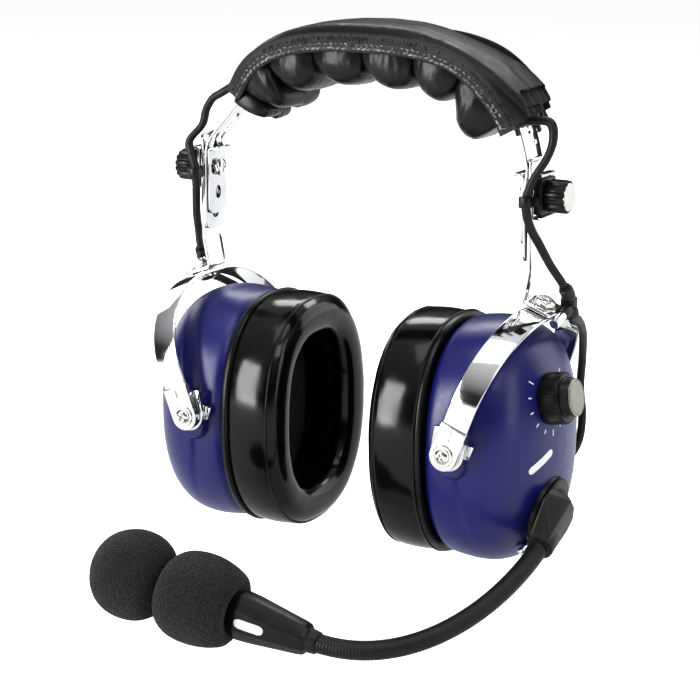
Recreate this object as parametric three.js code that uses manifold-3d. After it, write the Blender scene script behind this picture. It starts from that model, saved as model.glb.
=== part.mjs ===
// Passive aviation headset with a flexible microphone boom.
// Millimetres. +Z is up, +X is the wearer's left, -Y is forward. The origin is the flat land in
// the middle groove of the head pad, where the headset rests on the crown of the head.
import * as THREE from "three";
import { mergeVertices } from "three/addons/utils/BufferGeometryUtils.js";
import Module from "manifold-3d";

const wasm = await Module();
wasm.setup();

const { degToRad } = THREE.MathUtils;
const root = new THREE.Group();

// ---------------------------------------------------------------- driving dimensions
const CROWN_Z = 15; // spring strip above the crown seat
const LEG_X = 79; // straight leg of the spring
const CLAMP_Z = -45.9; // clamp screw axis, arms fully in
const CLAMP_HOLE_R = 2.6;
const YOKE_LEAN = degToRad(21); // swivel axis leans outwards
const BOLT = [85.2, 0, -94.05]; // swivel bolt through the arm's flange
const BOLT_HOLE_R = 2.7;
const CUP_Z = -153.5; // middle of the ear cup
const CABLE_R = 1.8;
const BALANCE = [95.3, -9, -130.5]; // balance control on the shell
const BALANCE_TILT = degToRad(10); // its axis rises outwards
const SWING = [94.4, -6, -181.5]; // boom swing axis on the shell
const SWING_TILT = degToRad(12); // its axis falls outwards
// Bezier control points of the boom, from its mount to the microphone.
const BOOM_POINTS = [
  [97, -23.4, -190.9], [97, -69.3, -207.8], [69.1, -97.7, -228.1], [29.2, -100.7, -220.3],
];
const MIC_DIRECTION = [-0.979, -0.075, 0.192];

// ---------------------------------------------------------------- points and meshes
const vec = (xyz) => new THREE.Vector3(...xyz);
const inXZ = (pairs) => pairs.map(([x, z]) => [x, 0, z]);
const around = (count, pointAt) =>
  Array.from({ length: count }, (_, i) => pointAt((2 * Math.PI * i) / count, i));
const range = (first, last, step) =>
  Array.from({ length: (last - first) / step + 1 }, (_, i) => first + i * step);

// Carries a run that starts on the middle plane across to -X.
const acrossMiddle = (run) =>
  [...run.slice(1).reverse().map(([x, y, z]) => [-x, y, z]), ...run];

function signedVolume(mesh) {
  const { index, attributes: { position } } = mesh;
  const corner = (i) => new THREE.Vector3().fromBufferAttribute(position, index.getX(i));
  let sum = 0;
  for (let i = 0; i < index.count; i += 3) {
    sum += corner(i).dot(corner(i + 1).cross(corner(i + 2)));
  }
  return sum / 6;
}

function flipped(mesh) {
  const { index } = mesh;
  for (let i = 0; i < index.count; i += 3) {
    const second = index.getX(i + 1);
    index.setX(i + 1, index.getX(i + 2));
    index.setX(i + 2, second);
  }
  return mesh;
}

// Positions only, with coincident vertices merged.
function welded(mesh) {
  const loose = mesh.index ? mesh.toNonIndexed() : mesh;
  const bare = new THREE.BufferGeometry().setAttribute("position", loose.getAttribute("position"));
  return mergeVertices(bare, 1e-4);
}

const mirrored = (mesh) => flipped((mesh.index ? mesh.clone() : welded(mesh)).scale(-1, 1, 1));

function toSolid(mesh) {
  const { index, attributes } = welded(mesh);
  return new wasm.Manifold(new wasm.Mesh({
    numProp: 3,
    vertProperties: attributes.position.array,
    triVerts: new Uint32Array(index.array),
  }));
}

function fromSolid(solid) {
  const { vertProperties, triVerts } = solid.getMesh();
  return new THREE.BufferGeometry()
    .setAttribute("position", new THREE.BufferAttribute(new Float32Array(vertProperties), 3))
    .setIndex(new THREE.BufferAttribute(new Uint32Array(triVerts), 1));
}

const cut = (body, ...tools) =>
  fromSolid(tools.reduce((solid, tool) => solid.subtract(toSolid(tool)), toSolid(body)));
const join = (body, ...others) =>
  fromSolid(others.reduce((solid, other) => solid.add(toSolid(other)), toSolid(body)));

// ---------------------------------------------------------------- shapes
// A closed solid through a row of rings; a closed row makes a hoop.
function loft(rings, closed = false) {
  const size = rings[0].length;
  const count = rings.length;
  const positions = rings.flat(2);
  const triangles = [];
  for (let i = 0; i < (closed ? count : count - 1); i++) {
    const here = i * size;
    const next = ((i + 1) % count) * size;
    for (let j = 0; j < size; j++) {
      const k = (j + 1) % size;
      triangles.push(here + j, next + j, next + k, here + j, next + k, here + k);
    }
  }
  // Each end is a fan about the ring's mean point.
  for (const i of closed ? [] : [0, count - 1]) {
    const centre = positions.length / 3;
    const start = i * size;
    for (let axisNo = 0; axisNo < 3; axisNo++) {
      positions.push(rings[i].reduce((sum, point) => sum + point[axisNo] / size, 0));
    }
    for (let j = 0; j < size; j++) {
      const k = (j + 1) % size;
      triangles.push(centre, ...(i === 0 ? [j, k] : [start + k, start + j]));
    }
  }
  const mesh = new THREE.BufferGeometry()
    .setAttribute("position", new THREE.BufferAttribute(new Float32Array(positions), 3))
    .setIndex(triangles);
  return signedVolume(mesh) < 0 ? flipped(mesh) : mesh;
}

function box([x0, x1], [y0, y1], [z0, z1]) {
  return new THREE.BoxGeometry(x1 - x0, Math.abs(y1 - y0), z1 - z0)
    .translate((x0 + x1) / 2, (y0 + y1) / 2, (z0 + z1) / 2);
}

// A round bar or cone frustum from a point along a direction.
function rod(from, direction, radius, length, sides = 16, endRadius = radius) {
  const unit = vec(direction).normalize();
  const turn = new THREE.Quaternion().setFromUnitVectors(new THREE.Vector3(0, 1, 0), unit);
  const middle = vec(from).addScaledVector(unit, length / 2);
  return new THREE.CylinderGeometry(endRadius, radius, length, sides)
    .applyQuaternion(turn)
    .translate(...middle);
}

// A line that holes, bars and knobs share; places on it are distances from its origin.
function axis(origin, direction) {
  const unit = vec(direction).normalize();
  const at = (distance) => vec(origin).addScaledVector(unit, distance).toArray();
  const axisRod = (radius, start, length, sides, endRadius) =>
    rod(at(start), unit, radius, length, sides, endRadius);
  return { unit, at, rod: axisRod };
}

// A knob or disc. Levels are [height above start, radius factor]; radiusAt takes a vertex number.
function turned(line, start, levels, radiusAt, sides) {
  const side = new THREE.Vector3(0, 1, 0).cross(line.unit).normalize();
  const across = line.unit.clone().cross(side);
  return loft(levels.map(([height, factor]) => around(sides, (angle, i) => {
    const radius = radiusAt(i) * factor;
    return vec(line.at(start + height))
      .addScaledVector(side, radius * Math.cos(angle))
      .addScaledVector(across, radius * Math.sin(angle))
      .toArray();
  })));
}

function tube(points, radius, steps, sides) {
  const circle = new THREE.Shape(around(sides, (angle) =>
    new THREE.Vector2(radius * Math.cos(angle), radius * Math.sin(angle))));
  const extrudePath = new THREE.CatmullRomCurve3(points.map(vec), false, "centripetal");
  return new THREE.ExtrudeGeometry(circle, { steps, bevelEnabled: false, extrudePath });
}

// A flat strip along a path, mitred at each bend. Width is a number or widthAt(i, count).
function strip(path, widthDirection, width, thickness) {
  const wide = vec(widthDirection).normalize();
  const points = path.map(vec);
  const count = points.length;
  return loft(points.map((point, i) => {
    const before = i > 0 ? point.clone().sub(points[i - 1]).normalize() : null;
    const after = i < count - 1 ? points[i + 1].clone().sub(point).normalize() : null;
    const tangent = (before || after).clone().add(after || before).normalize();
    const normal = tangent.clone().cross(wide).normalize();
    const mitre = 1 / Math.max(0.5, tangent.dot(before || after));
    const w = (typeof width === "function" ? width(i, count) : width) / 2;
    const h = (thickness / 2) * mitre;
    return [[-w, -h], [w, -h], [w, h], [-w, h]].map(([u, v]) =>
      point.clone().addScaledVector(wide, u).addScaledVector(normal, v).toArray());
  }));
}

// Strip width that narrows over the two points nearest an end; stepsFromEnd picks the end.
const narrowed = (width, endWidths, stepsFromEnd) => (i, count) =>
  endWidths[stepsFromEnd(i, count)] ?? width;
const fromFirst = (i) => i;
const fromLast = (i, count) => count - 1 - i;
const fromNearest = (i, count) => Math.min(i, count - 1 - i);

// Superellipse about the cup's middle, in the plane at x; y and z are its half sizes.
function oval([x, y, z], exponent = 2.3, count = 32) {
  const bulge = (value) => Math.sign(value) * Math.abs(value) ** (2 / exponent);
  return around(count, (angle) =>
    [x, y * bulge(Math.cos(angle)), CUP_Z + z * bulge(Math.sin(angle))]);
}
const ovalLoft = (levels, exponent) => loft(levels.map((level) => oval(level, exponent)));
const ovalPrism = (x0, x1, y, z, exponent) => ovalLoft([[x0, y, z], [x1, y, z]], exponent);

// ---------------------------------------------------------------- materials and parts
const MATERIALS = {
  chrome: { color: 0xc9ccd0, roughness: 0.18, metalness: 1 },
  black: { color: 0x151517, roughness: 0.5, metalness: 0 },
  shell: { color: 0x1c2440, roughness: 0.45, metalness: 0 },
  vinyl: { color: 0x0e0e10, roughness: 0.25, metalness: 0 },
  leather: { color: 0x121214, roughness: 0.55, metalness: 0 },
  foam: { color: 0x0c0c0d, roughness: 0.95, metalness: 0 },
  cable: { color: 0x101011, roughness: 0.6, metalness: 0 },
  steel: { color: 0x9a9da2, roughness: 0.35, metalness: 1 },
};

function add(name, geometry, material) {
  const look = new THREE.MeshStandardMaterial({ ...MATERIALS[material], flatShading: true });
  const mesh = new THREE.Mesh(geometry, look);
  mesh.name = name;
  root.add(mesh);
}

// Takes a piece built on the left, at +X, and adds its mirror image too.
function addBoth(name, geometry, material) {
  add(name + "_left", geometry, material);
  add(name + "_right", mirrored(geometry), material);
}

// ---------------------------------------------------------------- headband spring
const SPRING_W = 16;
const SPRING_T = 1.2;
const LEG_END = -74;
const SLOT_R = 2.7;
const SLOT_END = -69.3;
const SLOT_TOP_LEFT = -42.8;
const SLOT_TOP_RIGHT = -20.5;

// Left half of the arch, [x, z], from the crown to the leg.
const ARCH = [
  [0, CROWN_Z], [16, 14.6], [32, 12.6], [46, 7.9], [57, -0.3], [64.8, -10.2],
  [70.8, -19.6], [75.6, -27.8], [78.4, -33.6], [LEG_X, -37], [LEG_X, -40],
];
const archCurve = new THREE.CatmullRomCurve3(inXZ(ARCH).map(vec), false, "centripetal");

// A round-ended slot through a leg; side is 1 for the left leg, -1 for the right.
function legSlot(side, top) {
  const reach = 13;
  const x = LEG_X * side;
  const ends = [SLOT_END + SLOT_R, top - SLOT_R];
  return join(
    box([x - reach, x + reach], [-SLOT_R, SLOT_R], ends),
    ...ends.map((z) => rod([x - reach, 0, z], [1, 0, 0], SLOT_R, 2 * reach)));
}

function headbandSpring() {
  const bend = archCurve.getSpacedPoints(34)
    .map((point) => point.toArray())
    .filter(([x]) => x < LEG_X - 0.15);
  const legHeights = [-37.2, -38.5, LEG_END + 4, LEG_END + 1.2, LEG_END];
  const leg = legHeights.map((z) => [LEG_X, 0, z]);
  const width = narrowed(SPRING_W, [SPRING_W - 7, SPRING_W - 2.4], fromNearest);
  return cut(
    strip(acrossMiddle([...bend, ...leg]), [0, 1, 0], width, SPRING_T),
    legSlot(1, SLOT_TOP_LEFT),
    legSlot(-1, SLOT_TOP_RIGHT),
    // two small holes on the left side
    rod([66, 0, -16.4], [0.86, 0, -0.51], 1.9, 9, 14),
    rod([68, 2.6, -22.0], [0.88, 0, -0.47], 0.8, 9, 8));
}
add("headband_spring", headbandSpring(), "chrome");

// ---------------------------------------------------------------- headband cover and pad
// A station is an arc length along the arch from the crown, positive to the left. Sections
// there are [y, lift], with lift measured outwards from the spring.
const COVER_END = 78;
const CABLE_PLACE = [-6, 3.9]; // bridge cable in the cover's section
const archLength = archCurve.getLength();

function onArch(station, [y, lift]) {
  const distance = Math.abs(station);
  if (distance < 5) return [station, y, CROWN_Z + lift]; // the crown is taken as flat
  const side = Math.sign(station);
  const point = archCurve.getPointAt(distance / archLength);
  const tangent = archCurve.getTangentAt(distance / archLength);
  return [side * (point.x - tangent.z * lift), y, point.z + tangent.x * lift];
}
const sweep = (stations, sectionAt) =>
  loft(stations.map((s) => sectionAt(s).map((place) => onArch(s, place))));

function coverSection(station) {
  const distance = Math.abs(station);
  const height = 8.4 + 1.8 * (distance / COVER_END) ** 2;
  const narrowing = 1 - 0.12 * Math.max(0, (distance - 70) / 8);
  return [
    [-19.6, 0.95], [-21, 3.2], [-20.2, height - 2.2], [-17, height - 0.7],
    [-9, height - 0.1], [0, height], [9, height - 0.1],
    [17, height - 0.7], [20.2, height - 2.2], [21, 3.2], [19.6, 0.95],
  ].map(([y, lift]) => [y * narrowing, lift]);
}

function ductSection() {
  const radius = CABLE_R + 0.9;
  const [y, lift] = CABLE_PLACE;
  return around(8, (angle) => [y + radius * Math.cos(angle), lift + radius * Math.sin(angle)]);
}
add("headband_cover", cut(
  sweep(range(-COVER_END, COVER_END, 6), coverSection),
  sweep(range(-80, 80, 4), ductSection)), "leather");

// Cushion: six lobes, three each side of a flat land at the crown.
const LAND_DEPTH = CROWN_Z;
const LAND_END = 4.6;
const GROOVE_DEPTH = 13.4;
const LOBES = [
  { from: LAND_END, to: 25, startDepth: LAND_DEPTH, peak: 17.4 },
  { from: 25, to: 50, startDepth: GROOVE_DEPTH, peak: 17.4 },
  { from: 50, to: 77.5, startDepth: GROOVE_DEPTH, peak: 17 },
];
const HALF_PAD_STATIONS = [
  0, 4.5, 7, 11, 15, 19, 22.5, 25, 27.5, 32, 37.5, 43, 47.5, 50, 52.5, 57.5, 64, 70.5, 75, 77.5,
];

function padDepth(station) {
  const distance = Math.abs(station);
  if (distance < LAND_END) return LAND_DEPTH;
  const { from, to, startDepth, peak } = LOBES.find((lobe) => distance <= lobe.to);
  const f = (distance - from) / (to - from);
  const base = startDepth + (GROOVE_DEPTH - startDepth) * f;
  return base + (peak - base) * Math.sin(Math.PI * f) ** 0.55;
}

function padSection(station) {
  const depth = padDepth(station);
  return [
    [-20.4, -0.95], [20.4, -0.95], [21.2, -5], [20.6, -depth + 4.5], [18, -depth + 1.4],
    [13, -depth], [0, -depth], [-13, -depth],
    [-18, -depth + 1.4], [-20.6, -depth + 4.5], [-21.2, -5],
  ];
}
const padStations = [...HALF_PAD_STATIONS.slice(1).reverse().map((s) => -s), ...HALF_PAD_STATIONS];
add("head_pad", sweep(padStations, padSection), "leather");

// Cable across the headband: through the cover, out of both ends and down to the clips.
const cableRun = [0, ...range(4, 68, 8), 80].map((s) => onArch(s, CABLE_PLACE));
const CABLE_DROP = [
  [82.4, -6.2, -14.5], [86.2, -7.4, -21.5], [86.6, -9, -29],
  [84.4, -10.6, -36], [82.4, -11.4, -42.6],
];
add("bridge_cable", tube(acrossMiddle([...cableRun, ...CABLE_DROP]), CABLE_R, 64, 6), "cable");

// ---------------------------------------------------------------- sliding arm and clamp
const ARM_X = 80.8;
const ARM_W = 14;
const ARM_T = 1.6;
const KEEPER_W = 14;
const KEEPER_T = 1.2;
const FLANGE_ROOT = [79.7, -91.94]; // x, z where the arm turns out under the nut
const clamp = axis([0, 0, CLAMP_Z], [1, 0, 0]); // distances are x
const bolt = axis(BOLT, [Math.sin(YOKE_LEAN), 0, Math.cos(YOKE_LEAN)]); // upwards
const yokeAcross = [Math.cos(YOKE_LEAN), 0, -Math.sin(YOKE_LEAN)]; // width of the yoke strip

// straight blade, lean in, flange out under the nut; [x, z]
const flange = [0, 1.6, 12.4].map((run) =>
  [FLANGE_ROOT[0] + run * yokeAcross[0], FLANGE_ROOT[1] + run * yokeAcross[2]]);
const ARM_PATH = [
  [ARM_X, -30], [ARM_X, -31.2], [ARM_X, -33], [ARM_X, -77], [80.5, -79.2],
  [78.95, -87.4], [78.55, -89.6], [78.75, -91.0], ...flange,
];
const armWidth = narrowed(ARM_W, [ARM_W - 6, ARM_W - 2], fromFirst);
addBoth("slider_arm", cut(
  strip(inXZ(ARM_PATH), [0, 1, 0], armWidth, ARM_T),
  clamp.rod(CLAMP_HOLE_R, 76, 9),
  bolt.rod(BOLT_HOLE_R, -4, 8)), "chrome");

// keeper plate inside the spring leg, with a folded top tab; [x, z]
const KEEPER_PATH = [
  [73.6, -37.1], [76.3, -37.1], [77.3, -37.7], [77.5, -38.9],
  [77.5, -63], [77.5, -65.4], [77.5, -67],
];
const keeperWidth = narrowed(KEEPER_W, [KEEPER_W - 7, KEEPER_W - 2.4], fromLast);
addBoth("slider_keeper", cut(
  strip(inXZ(KEEPER_PATH), [0, 1, 0], keeperWidth, KEEPER_T),
  clamp.rod(CLAMP_HOLE_R, 75, 5),
  rod([75, 0, -57.2], [1, 0, 0], 2.4, 5, 14)), "chrome");

// chrome cradle, a channel open outwards; [x, height above the clamp axis]
const CRADLE_PATH = [[86.4, 9], [83.2, 9], [82.5, 8.3], [82.5, -8.3], [83.2, -9], [86.4, -9]];
const cradlePath = inXZ(CRADLE_PATH.map(([x, height]) => [x, CLAMP_Z + height]));
addBoth("clamp_cradle", cut(
  strip(cradlePath, [0, 1, 0], 15, 1.1),
  clamp.rod(CLAMP_HOLE_R, 80, 5)), "chrome");

// moulded block with a cable clip in front of it
const CLIP_X = 81.4;
const CLIP_Y = -11.4;
const BLOCK_X = [83.4, 86.6];
const BLOCK_HALF = 7.6;
const clipZ = [CLAMP_Z - 4.6, CLAMP_Z + 1.4];
addBoth("clamp_block", cut(
  join(
    box(BLOCK_X, [-BLOCK_HALF, BLOCK_HALF], [CLAMP_Z - BLOCK_HALF, CLAMP_Z + BLOCK_HALF]),
    box([79.0, 84.3], [-15.2, -8.35], clipZ),
    box(BLOCK_X, [-10, -6.5], clipZ)),
  rod([CLIP_X, CLIP_Y, CLAMP_Z - 8], [0, 0, 1], CABLE_R + 0.35, 14, 12),
  clamp.rod(CLAMP_HOLE_R, 80, 10)), "black");

const CLAMP_SCREW_R = 2.1;
addBoth("clamp_screw", join(
  clamp.rod(CLAMP_SCREW_R, 75.6, 12.4),
  clamp.rod(3.9, 74, 1.7), // head
  clamp.rod(CLAMP_SCREW_R, 86, 4)), "steel");

const CLAMP_KNOB_LEVELS = [[0, 0.8], [0.8, 1], [8.2, 1], [9.2, 0.9]];
const fluteRadius = (i) => (i % 4 < 2 ? 7.1 : 6.5);
addBoth("clamp_knob", cut(
  turned(clamp, 86.95, CLAMP_KNOB_LEVELS, fluteRadius, 32),
  clamp.rod(2.45, 86, 4.4)), "black");

// cable from the clip down to the guide behind the bolt
const ARM_CABLE = [
  [CLIP_X, CLIP_Y, -44.1], [CLIP_X, CLIP_Y, -51], [82.6, -9.6, -58], [85.6, -5.0, -67],
  [88.2, 0.4, -76], [90.9, 5.6, -83.4], [92.3, 9.8, -89.4],
];
addBoth("arm_cable", tube(ARM_CABLE, CABLE_R, 22, 8), "cable");

// ---------------------------------------------------------------- yoke
const YOKE_W = 12;
const YOKE_T = 1.6;
const YOKE_HALF = 50; // middle plane to each arm
const YOKE_FLAT = 6; // half length of the flat crown
const YOKE_RISE = 36; // depth of the bend
const YOKE_CROWN = -2; // crown of the yoke on the bolt axis
const PIVOT_DROP = 57.2; // crown to pivot, along the bolt axis

// hex nut over the flange, shank, flared head under the yoke
addBoth("yoke_bolt", join(
  bolt.rod(2.3, -4.6, 9.6),
  bolt.rod(4.6, 1.1, 3.2, 6),
  bolt.rod(3.4, -5.6, 2.4, 18, 4.8)), "steel");

// A point in the leaning plane of the yoke, at a drop below its crown.
function onYoke([y, drop]) {
  const [x, , z] = bolt.at(YOKE_CROWN - drop);
  return [x, y, z];
}

// flat strip bent to a U; [y, drop]
const yokeBend = range(0, 12, 1).map((i) => {
  const angle = (Math.PI / 2) * (i / 12);
  return [
    YOKE_FLAT + (YOKE_HALF - YOKE_FLAT) * Math.sin(angle),
    YOKE_RISE * (1 - Math.cos(angle)),
  ];
});
const rearYoke = [...yokeBend, [YOKE_HALF, 52]];
const frontYoke = rearYoke.map(([y, drop]) => [-y, drop]).reverse();
const yokePath = [...frontYoke, ...rearYoke].map(onYoke);
addBoth("yoke", cut(
  strip(yokePath, yokeAcross, YOKE_W, YOKE_T),
  bolt.rod(BOLT_HOLE_R, -6, 8)), "chrome");

// Moulded yoke ends, pivot screws and cup brackets. Side is -1 in front, 1 behind.
const END_R = 6.4;
const END_TOP = 44.6;
const END_ARC = PIVOT_DROP + 1; // centre of the rounded foot
const END_LEVELS = [[48.35, 0.965], [48.85, 1], [51.3, 1], [51.9, 0.95]]; // |y|, scale
const PIVOT_HOLE_R = 2.2;
const PIVOT_START = -54; // start of the pivot holes on an inward axis
const BRACKET_Y = [43.95, 48.05];
const [pivotX, , pivotZ] = onYoke([0, PIVOT_DROP]);

function endPlate(side) {
  const foot = range(0, 8, 1).map((i) => {
    const angle = Math.PI - (Math.PI * i) / 8;
    return [END_R * Math.cos(angle), END_ARC + END_R * Math.sin(angle)];
  });
  const outline = [[-END_R, END_TOP], ...foot, [END_R, END_TOP]];
  return loft(END_LEVELS.map(([y, scale]) => outline.map(([across, drop]) => {
    const middle = onYoke([side * y, PIVOT_DROP + (drop - PIVOT_DROP) * scale]);
    return vec(middle).addScaledVector(vec(yokeAcross), across * scale).toArray();
  })));
}

function armPocket(side) {
  const path = [40, 52.5].map((drop) => onYoke([side * YOKE_HALF, drop]));
  return strip(path, yokeAcross, YOKE_W + 0.6, YOKE_T + 0.6);
}

function pivotBracket(side) {
  const [inner, outer] = BRACKET_Y;
  return join(
    box(
      [pivotX - 6.2, pivotX + 6.2],
      [side * inner, side * outer],
      [pivotZ - 7.5, pivotZ + 8.5]),
    rod([pivotX, side * inner, pivotZ], [0, side, 0], 7.4, outer - inner, 20));
}

for (const [place, side] of [["front", -1], ["rear", 1]]) {
  const pivot = axis([pivotX, 0, pivotZ], [0, -side, 0]); // inwards, towards the cup
  addBoth("yoke_end_" + place, cut(
    endPlate(side),
    armPocket(side),
    pivot.rod(PIVOT_HOLE_R, PIVOT_START, 8)), "black");
  addBoth("pivot_screw_" + place, join(
    pivot.rod(4.2, -54.1, 1.9, 18),
    pivot.rod(1.75, -53, 8.6, 14)), "steel");
  addBoth("pivot_bracket_" + place, cut(
    pivotBracket(side),
    pivot.rod(PIVOT_HOLE_R, PIVOT_START, 12)), "black");
}

// cable guide: moulded block behind the bolt, on the yoke
addBoth("cable_guide", cut(
  box([88.4, 96.2], [9.4, 16.2], [-96.2, -90.4]),
  strip(yokePath, yokeAcross, YOKE_W + 1, YOKE_T + 0.8),
  rod([92.7, 12.2, -100], [0, -0.12, 1], 2.4, 14, 12)), "black");

// ---------------------------------------------------------------- ear cup
const LIP_X = 46.6; // inner face of the seal plate's lip
const LIP_Y = 44.4;
const LIP_Z = 53;
const OPEN_Y = 26; // ear opening, half sizes
const OPEN_Z = 35;
const SEAL_FACE_X = 22;
const SEAL_GAP = 0.3; // seal to lip

// Oval levels: [x, half size in y, half size in z].
const SHELL_OUTER = [
  [51.3, 41.6, 50.6], [53, 42.5, 51.9], [59, 43.2, 53.0], [66, 43.5, 53.5],
  [73, 42.8, 52.8], [79, 40.6, 50.6], [84, 37.1, 47.1], [88, 32.4, 42.2],
  [91.3, 26, 35.4], [93.6, 18.6, 27], [95, 10.4, 16.6], [95.5, 4, 7],
];
const SHELL_INNER = [
  [50.5, 39.1, 48.1], [59, 40.6, 50.4], [66, 40.9, 50.9], [73, 40.2, 50.2], [79, 38, 48],
  [84, 34, 44.2], [88, 28.6, 38.6], [91, 20.8, 30.4], [92.6, 11.5, 18.5], [93, 4, 7],
];
// Growth widens every level, and also moves the outermost three outwards.
const shellOuter = (growth) => ovalLoft(SHELL_OUTER.map(([x, y, z], i) =>
  [x + (i > 8 ? growth : 0), y + growth, z + growth]));

const SWING_HOLE_R = 3;
const balance = axis(BALANCE, [Math.cos(BALANCE_TILT), 0, Math.sin(BALANCE_TILT)]);
const swing = axis(SWING, [Math.cos(SWING_TILT), 0, -Math.sin(SWING_TILT)]);

const plainShell = cut(shellOuter(0), ovalLoft(SHELL_INNER));
add("cup_shell_left", cut(
  shellOuter(0),
  ovalLoft(SHELL_INNER),
  balance.rod(3.6, -12, 16),
  swing.rod(SWING_HOLE_R, -14, 16)), "shell");
add("cup_shell_right", mirrored(plainShell), "shell");

// seal plate: lip flange and the spigot that enters the shell
const LIP_T = 2.8;
const LIP_CHAMFER = 0.6;
const lipLevels = [
  [LIP_X, LIP_Y - LIP_CHAMFER, LIP_Z - LIP_CHAMFER],
  [LIP_X + LIP_CHAMFER, LIP_Y, LIP_Z],
  [LIP_X + 2.2, LIP_Y, LIP_Z],
  [LIP_X + LIP_T, LIP_Y - LIP_CHAMFER, LIP_Z - LIP_CHAMFER],
];
addBoth("seal_plate", cut(
  join(ovalLoft(lipLevels), ovalPrism(LIP_X + 2.2, 56.4, 38.4, 47.4)),
  ovalPrism(LIP_X - 1, LIP_X + 4, OPEN_Y + 1.4, OPEN_Z + 1.4, 2.5),
  ovalPrism(LIP_X + LIP_T, 58, 36.2, 45.2)), "black");

// ear seal: soft oval ring with a flat face against the head
// Section: [0 at the opening to 1 at the outer edge, x].
const SEAL_SECTION = [
  [0, LIP_X - SEAL_GAP], [1, LIP_X - SEAL_GAP], [1, 38], [0.975, 31.5], [0.9, 26.2], [0.77, 23],
  [0.64, SEAL_FACE_X], [0.34, SEAL_FACE_X], [0.2, 23], [0.06, 27], [0, 34],
];

function earSeal() {
  const count = 28;
  const outer = oval([0, LIP_Y - 0.4, LIP_Z - 0.4], undefined, count);
  const rings = oval([0, OPEN_Y, OPEN_Z], 2.6, count).map(([, y, z], i) => {
    const [, outerY, outerZ] = outer[i];
    return SEAL_SECTION.map(([f, x]) => [x, y + (outerY - y) * f, z + (outerZ - z) * f]);
  });
  return loft(rings, true);
}
addBoth("ear_seal", earSeal(), "vinyl");

addBoth("filter_foam", ovalPrism(LIP_X + 3.2, 55.6, 34.6, 43.6), "foam");

// [radius, distance outwards from the driver's front face]
const DRIVER_PROFILE = [[0, 0], [21, 0], [21, 3], [19, 3.6], [12.5, 8], [12.5, 13], [0, 13]];
const driverOutline = DRIVER_PROFILE.map((point) => new THREE.Vector2(...point));
addBoth("driver", new THREE.LatheGeometry(driverOutline, 24)
  .rotateZ(-Math.PI / 2)
  .translate(57, 0, CUP_Z - 1), "black");

// from the guide, behind the yoke's rear arm, to the cup
const CUP_CABLE = [
  [92.7, 11.3, -91.8], [92.9, 13, -98.6], [91.6, 24, -103.6],
  [87.4, 39.6, -113], [82.4, 52.0, -128], [80.6, 55.0, -142],
  [82.8, 52.8, -155], [82.8, 49.2, -166], [79.6, 45.4, -173.4],
];
addBoth("cup_cable", tube(CUP_CABLE, CABLE_R, 26, 8), "cable");

// ---------------------------------------------------------------- balance control, left cup only
const BALANCE_KNOB_LEVELS = [
  [0, 0.97], [0.8, 1], [3.2, 1], [3.9, 0.93], [4.6, 0.885], [10.2, 0.85], [11.4, 0.74],
];
const ribRadius = (i) => (i % 3 ? 11 : 10.4);
add("balance_knob", cut(
  turned(balance, 0.3, BALANCE_KNOB_LEVELS, ribRadius, 36),
  balance.rod(3.15, -1, 8.5)), "black");
add("balance_pot", join(
  balance.rod(8, -16, 8.4),
  balance.rod(2.85, -8.5, 15.7)), "steel");

// ---------------------------------------------------------------- boom, left cup only
const BOOM_R = 4;

// boss seated on the shell
add("boom_base", cut(
  swing.rod(15.8, -13, 13, 32),
  shellOuter(0.35),
  swing.rod(SWING_HOLE_R, -20, 24)), "black");

// Faceted arm block: [y, height above the swing axis, square to it].
const ARM_BLOCK = [
  [6, 2], [3, 8.5], [-7, 7.5], [-22.6, -3.2], [-22.6, -13.4], [-9, -15.5], [1, -12.5], [6.5, -5],
];
const ARM_BLOCK_LEVELS = [[3, 1], [7.8, 1], [9.4, 0.9]]; // distance on the swing axis, scale
const ARM_BLOCK_Y = -8; // y the block is scaled about

function armBlock() {
  return loft(ARM_BLOCK_LEVELS.map(([distance, scale]) => ARM_BLOCK.map(([y, height]) => {
    const [x, , z] = swing.at(distance);
    return [
      x + Math.sin(SWING_TILT) * height * scale,
      ARM_BLOCK_Y + (y - ARM_BLOCK_Y) * scale,
      z + Math.cos(SWING_TILT) * height * scale,
    ];
  })));
}

const boomStart = axis(BOOM_POINTS[0], vec(BOOM_POINTS[1]).sub(vec(BOOM_POINTS[0])));
add("boom_mount", cut(
  join(
    turned(swing, 0.35, [[0, 1], [3.2, 1], [4.2, 0.94]], () => 14.2, 32),
    armBlock(),
    swing.rod(5.2, 9, 2.2, 20)),
  boomStart.rod(BOOM_R + 0.4, -1.6, 12)), "black");
add("boom_pin", join(swing.rod(2.4, -11.5, 11), swing.rod(4.6, -12.5, 2)), "steel");

// The gooseneck is in two lengths, each between two parameters of the boom curve.
const boomCurve = new THREE.CubicBezierCurve3(...BOOM_POINTS.map(vec));
function gooseneck(start, end) {
  const points = range(0, 10, 1).map((i) => boomCurve.getPoint(start + ((end - start) * i) / 10));
  return tube(points, BOOM_R, 14, 12);
}
add("gooseneck_root", gooseneck(-0.008, 0.482), "black");
add("gooseneck_tip", gooseneck(0.512, 0.995), "black");

// ---------------------------------------------------------------- microphone
const mic = axis(BOOM_POINTS[3], MIC_DIRECTION);
const micSide = mic.unit.clone().cross(new THREE.Vector3(0, 0, 1)).normalize();
const micUp = micSide.clone().cross(mic.unit);
const onMic = (distance, side, up) =>
  vec(mic.at(distance)).addScaledVector(micSide, side).addScaledVector(micUp, up).toArray();

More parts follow.
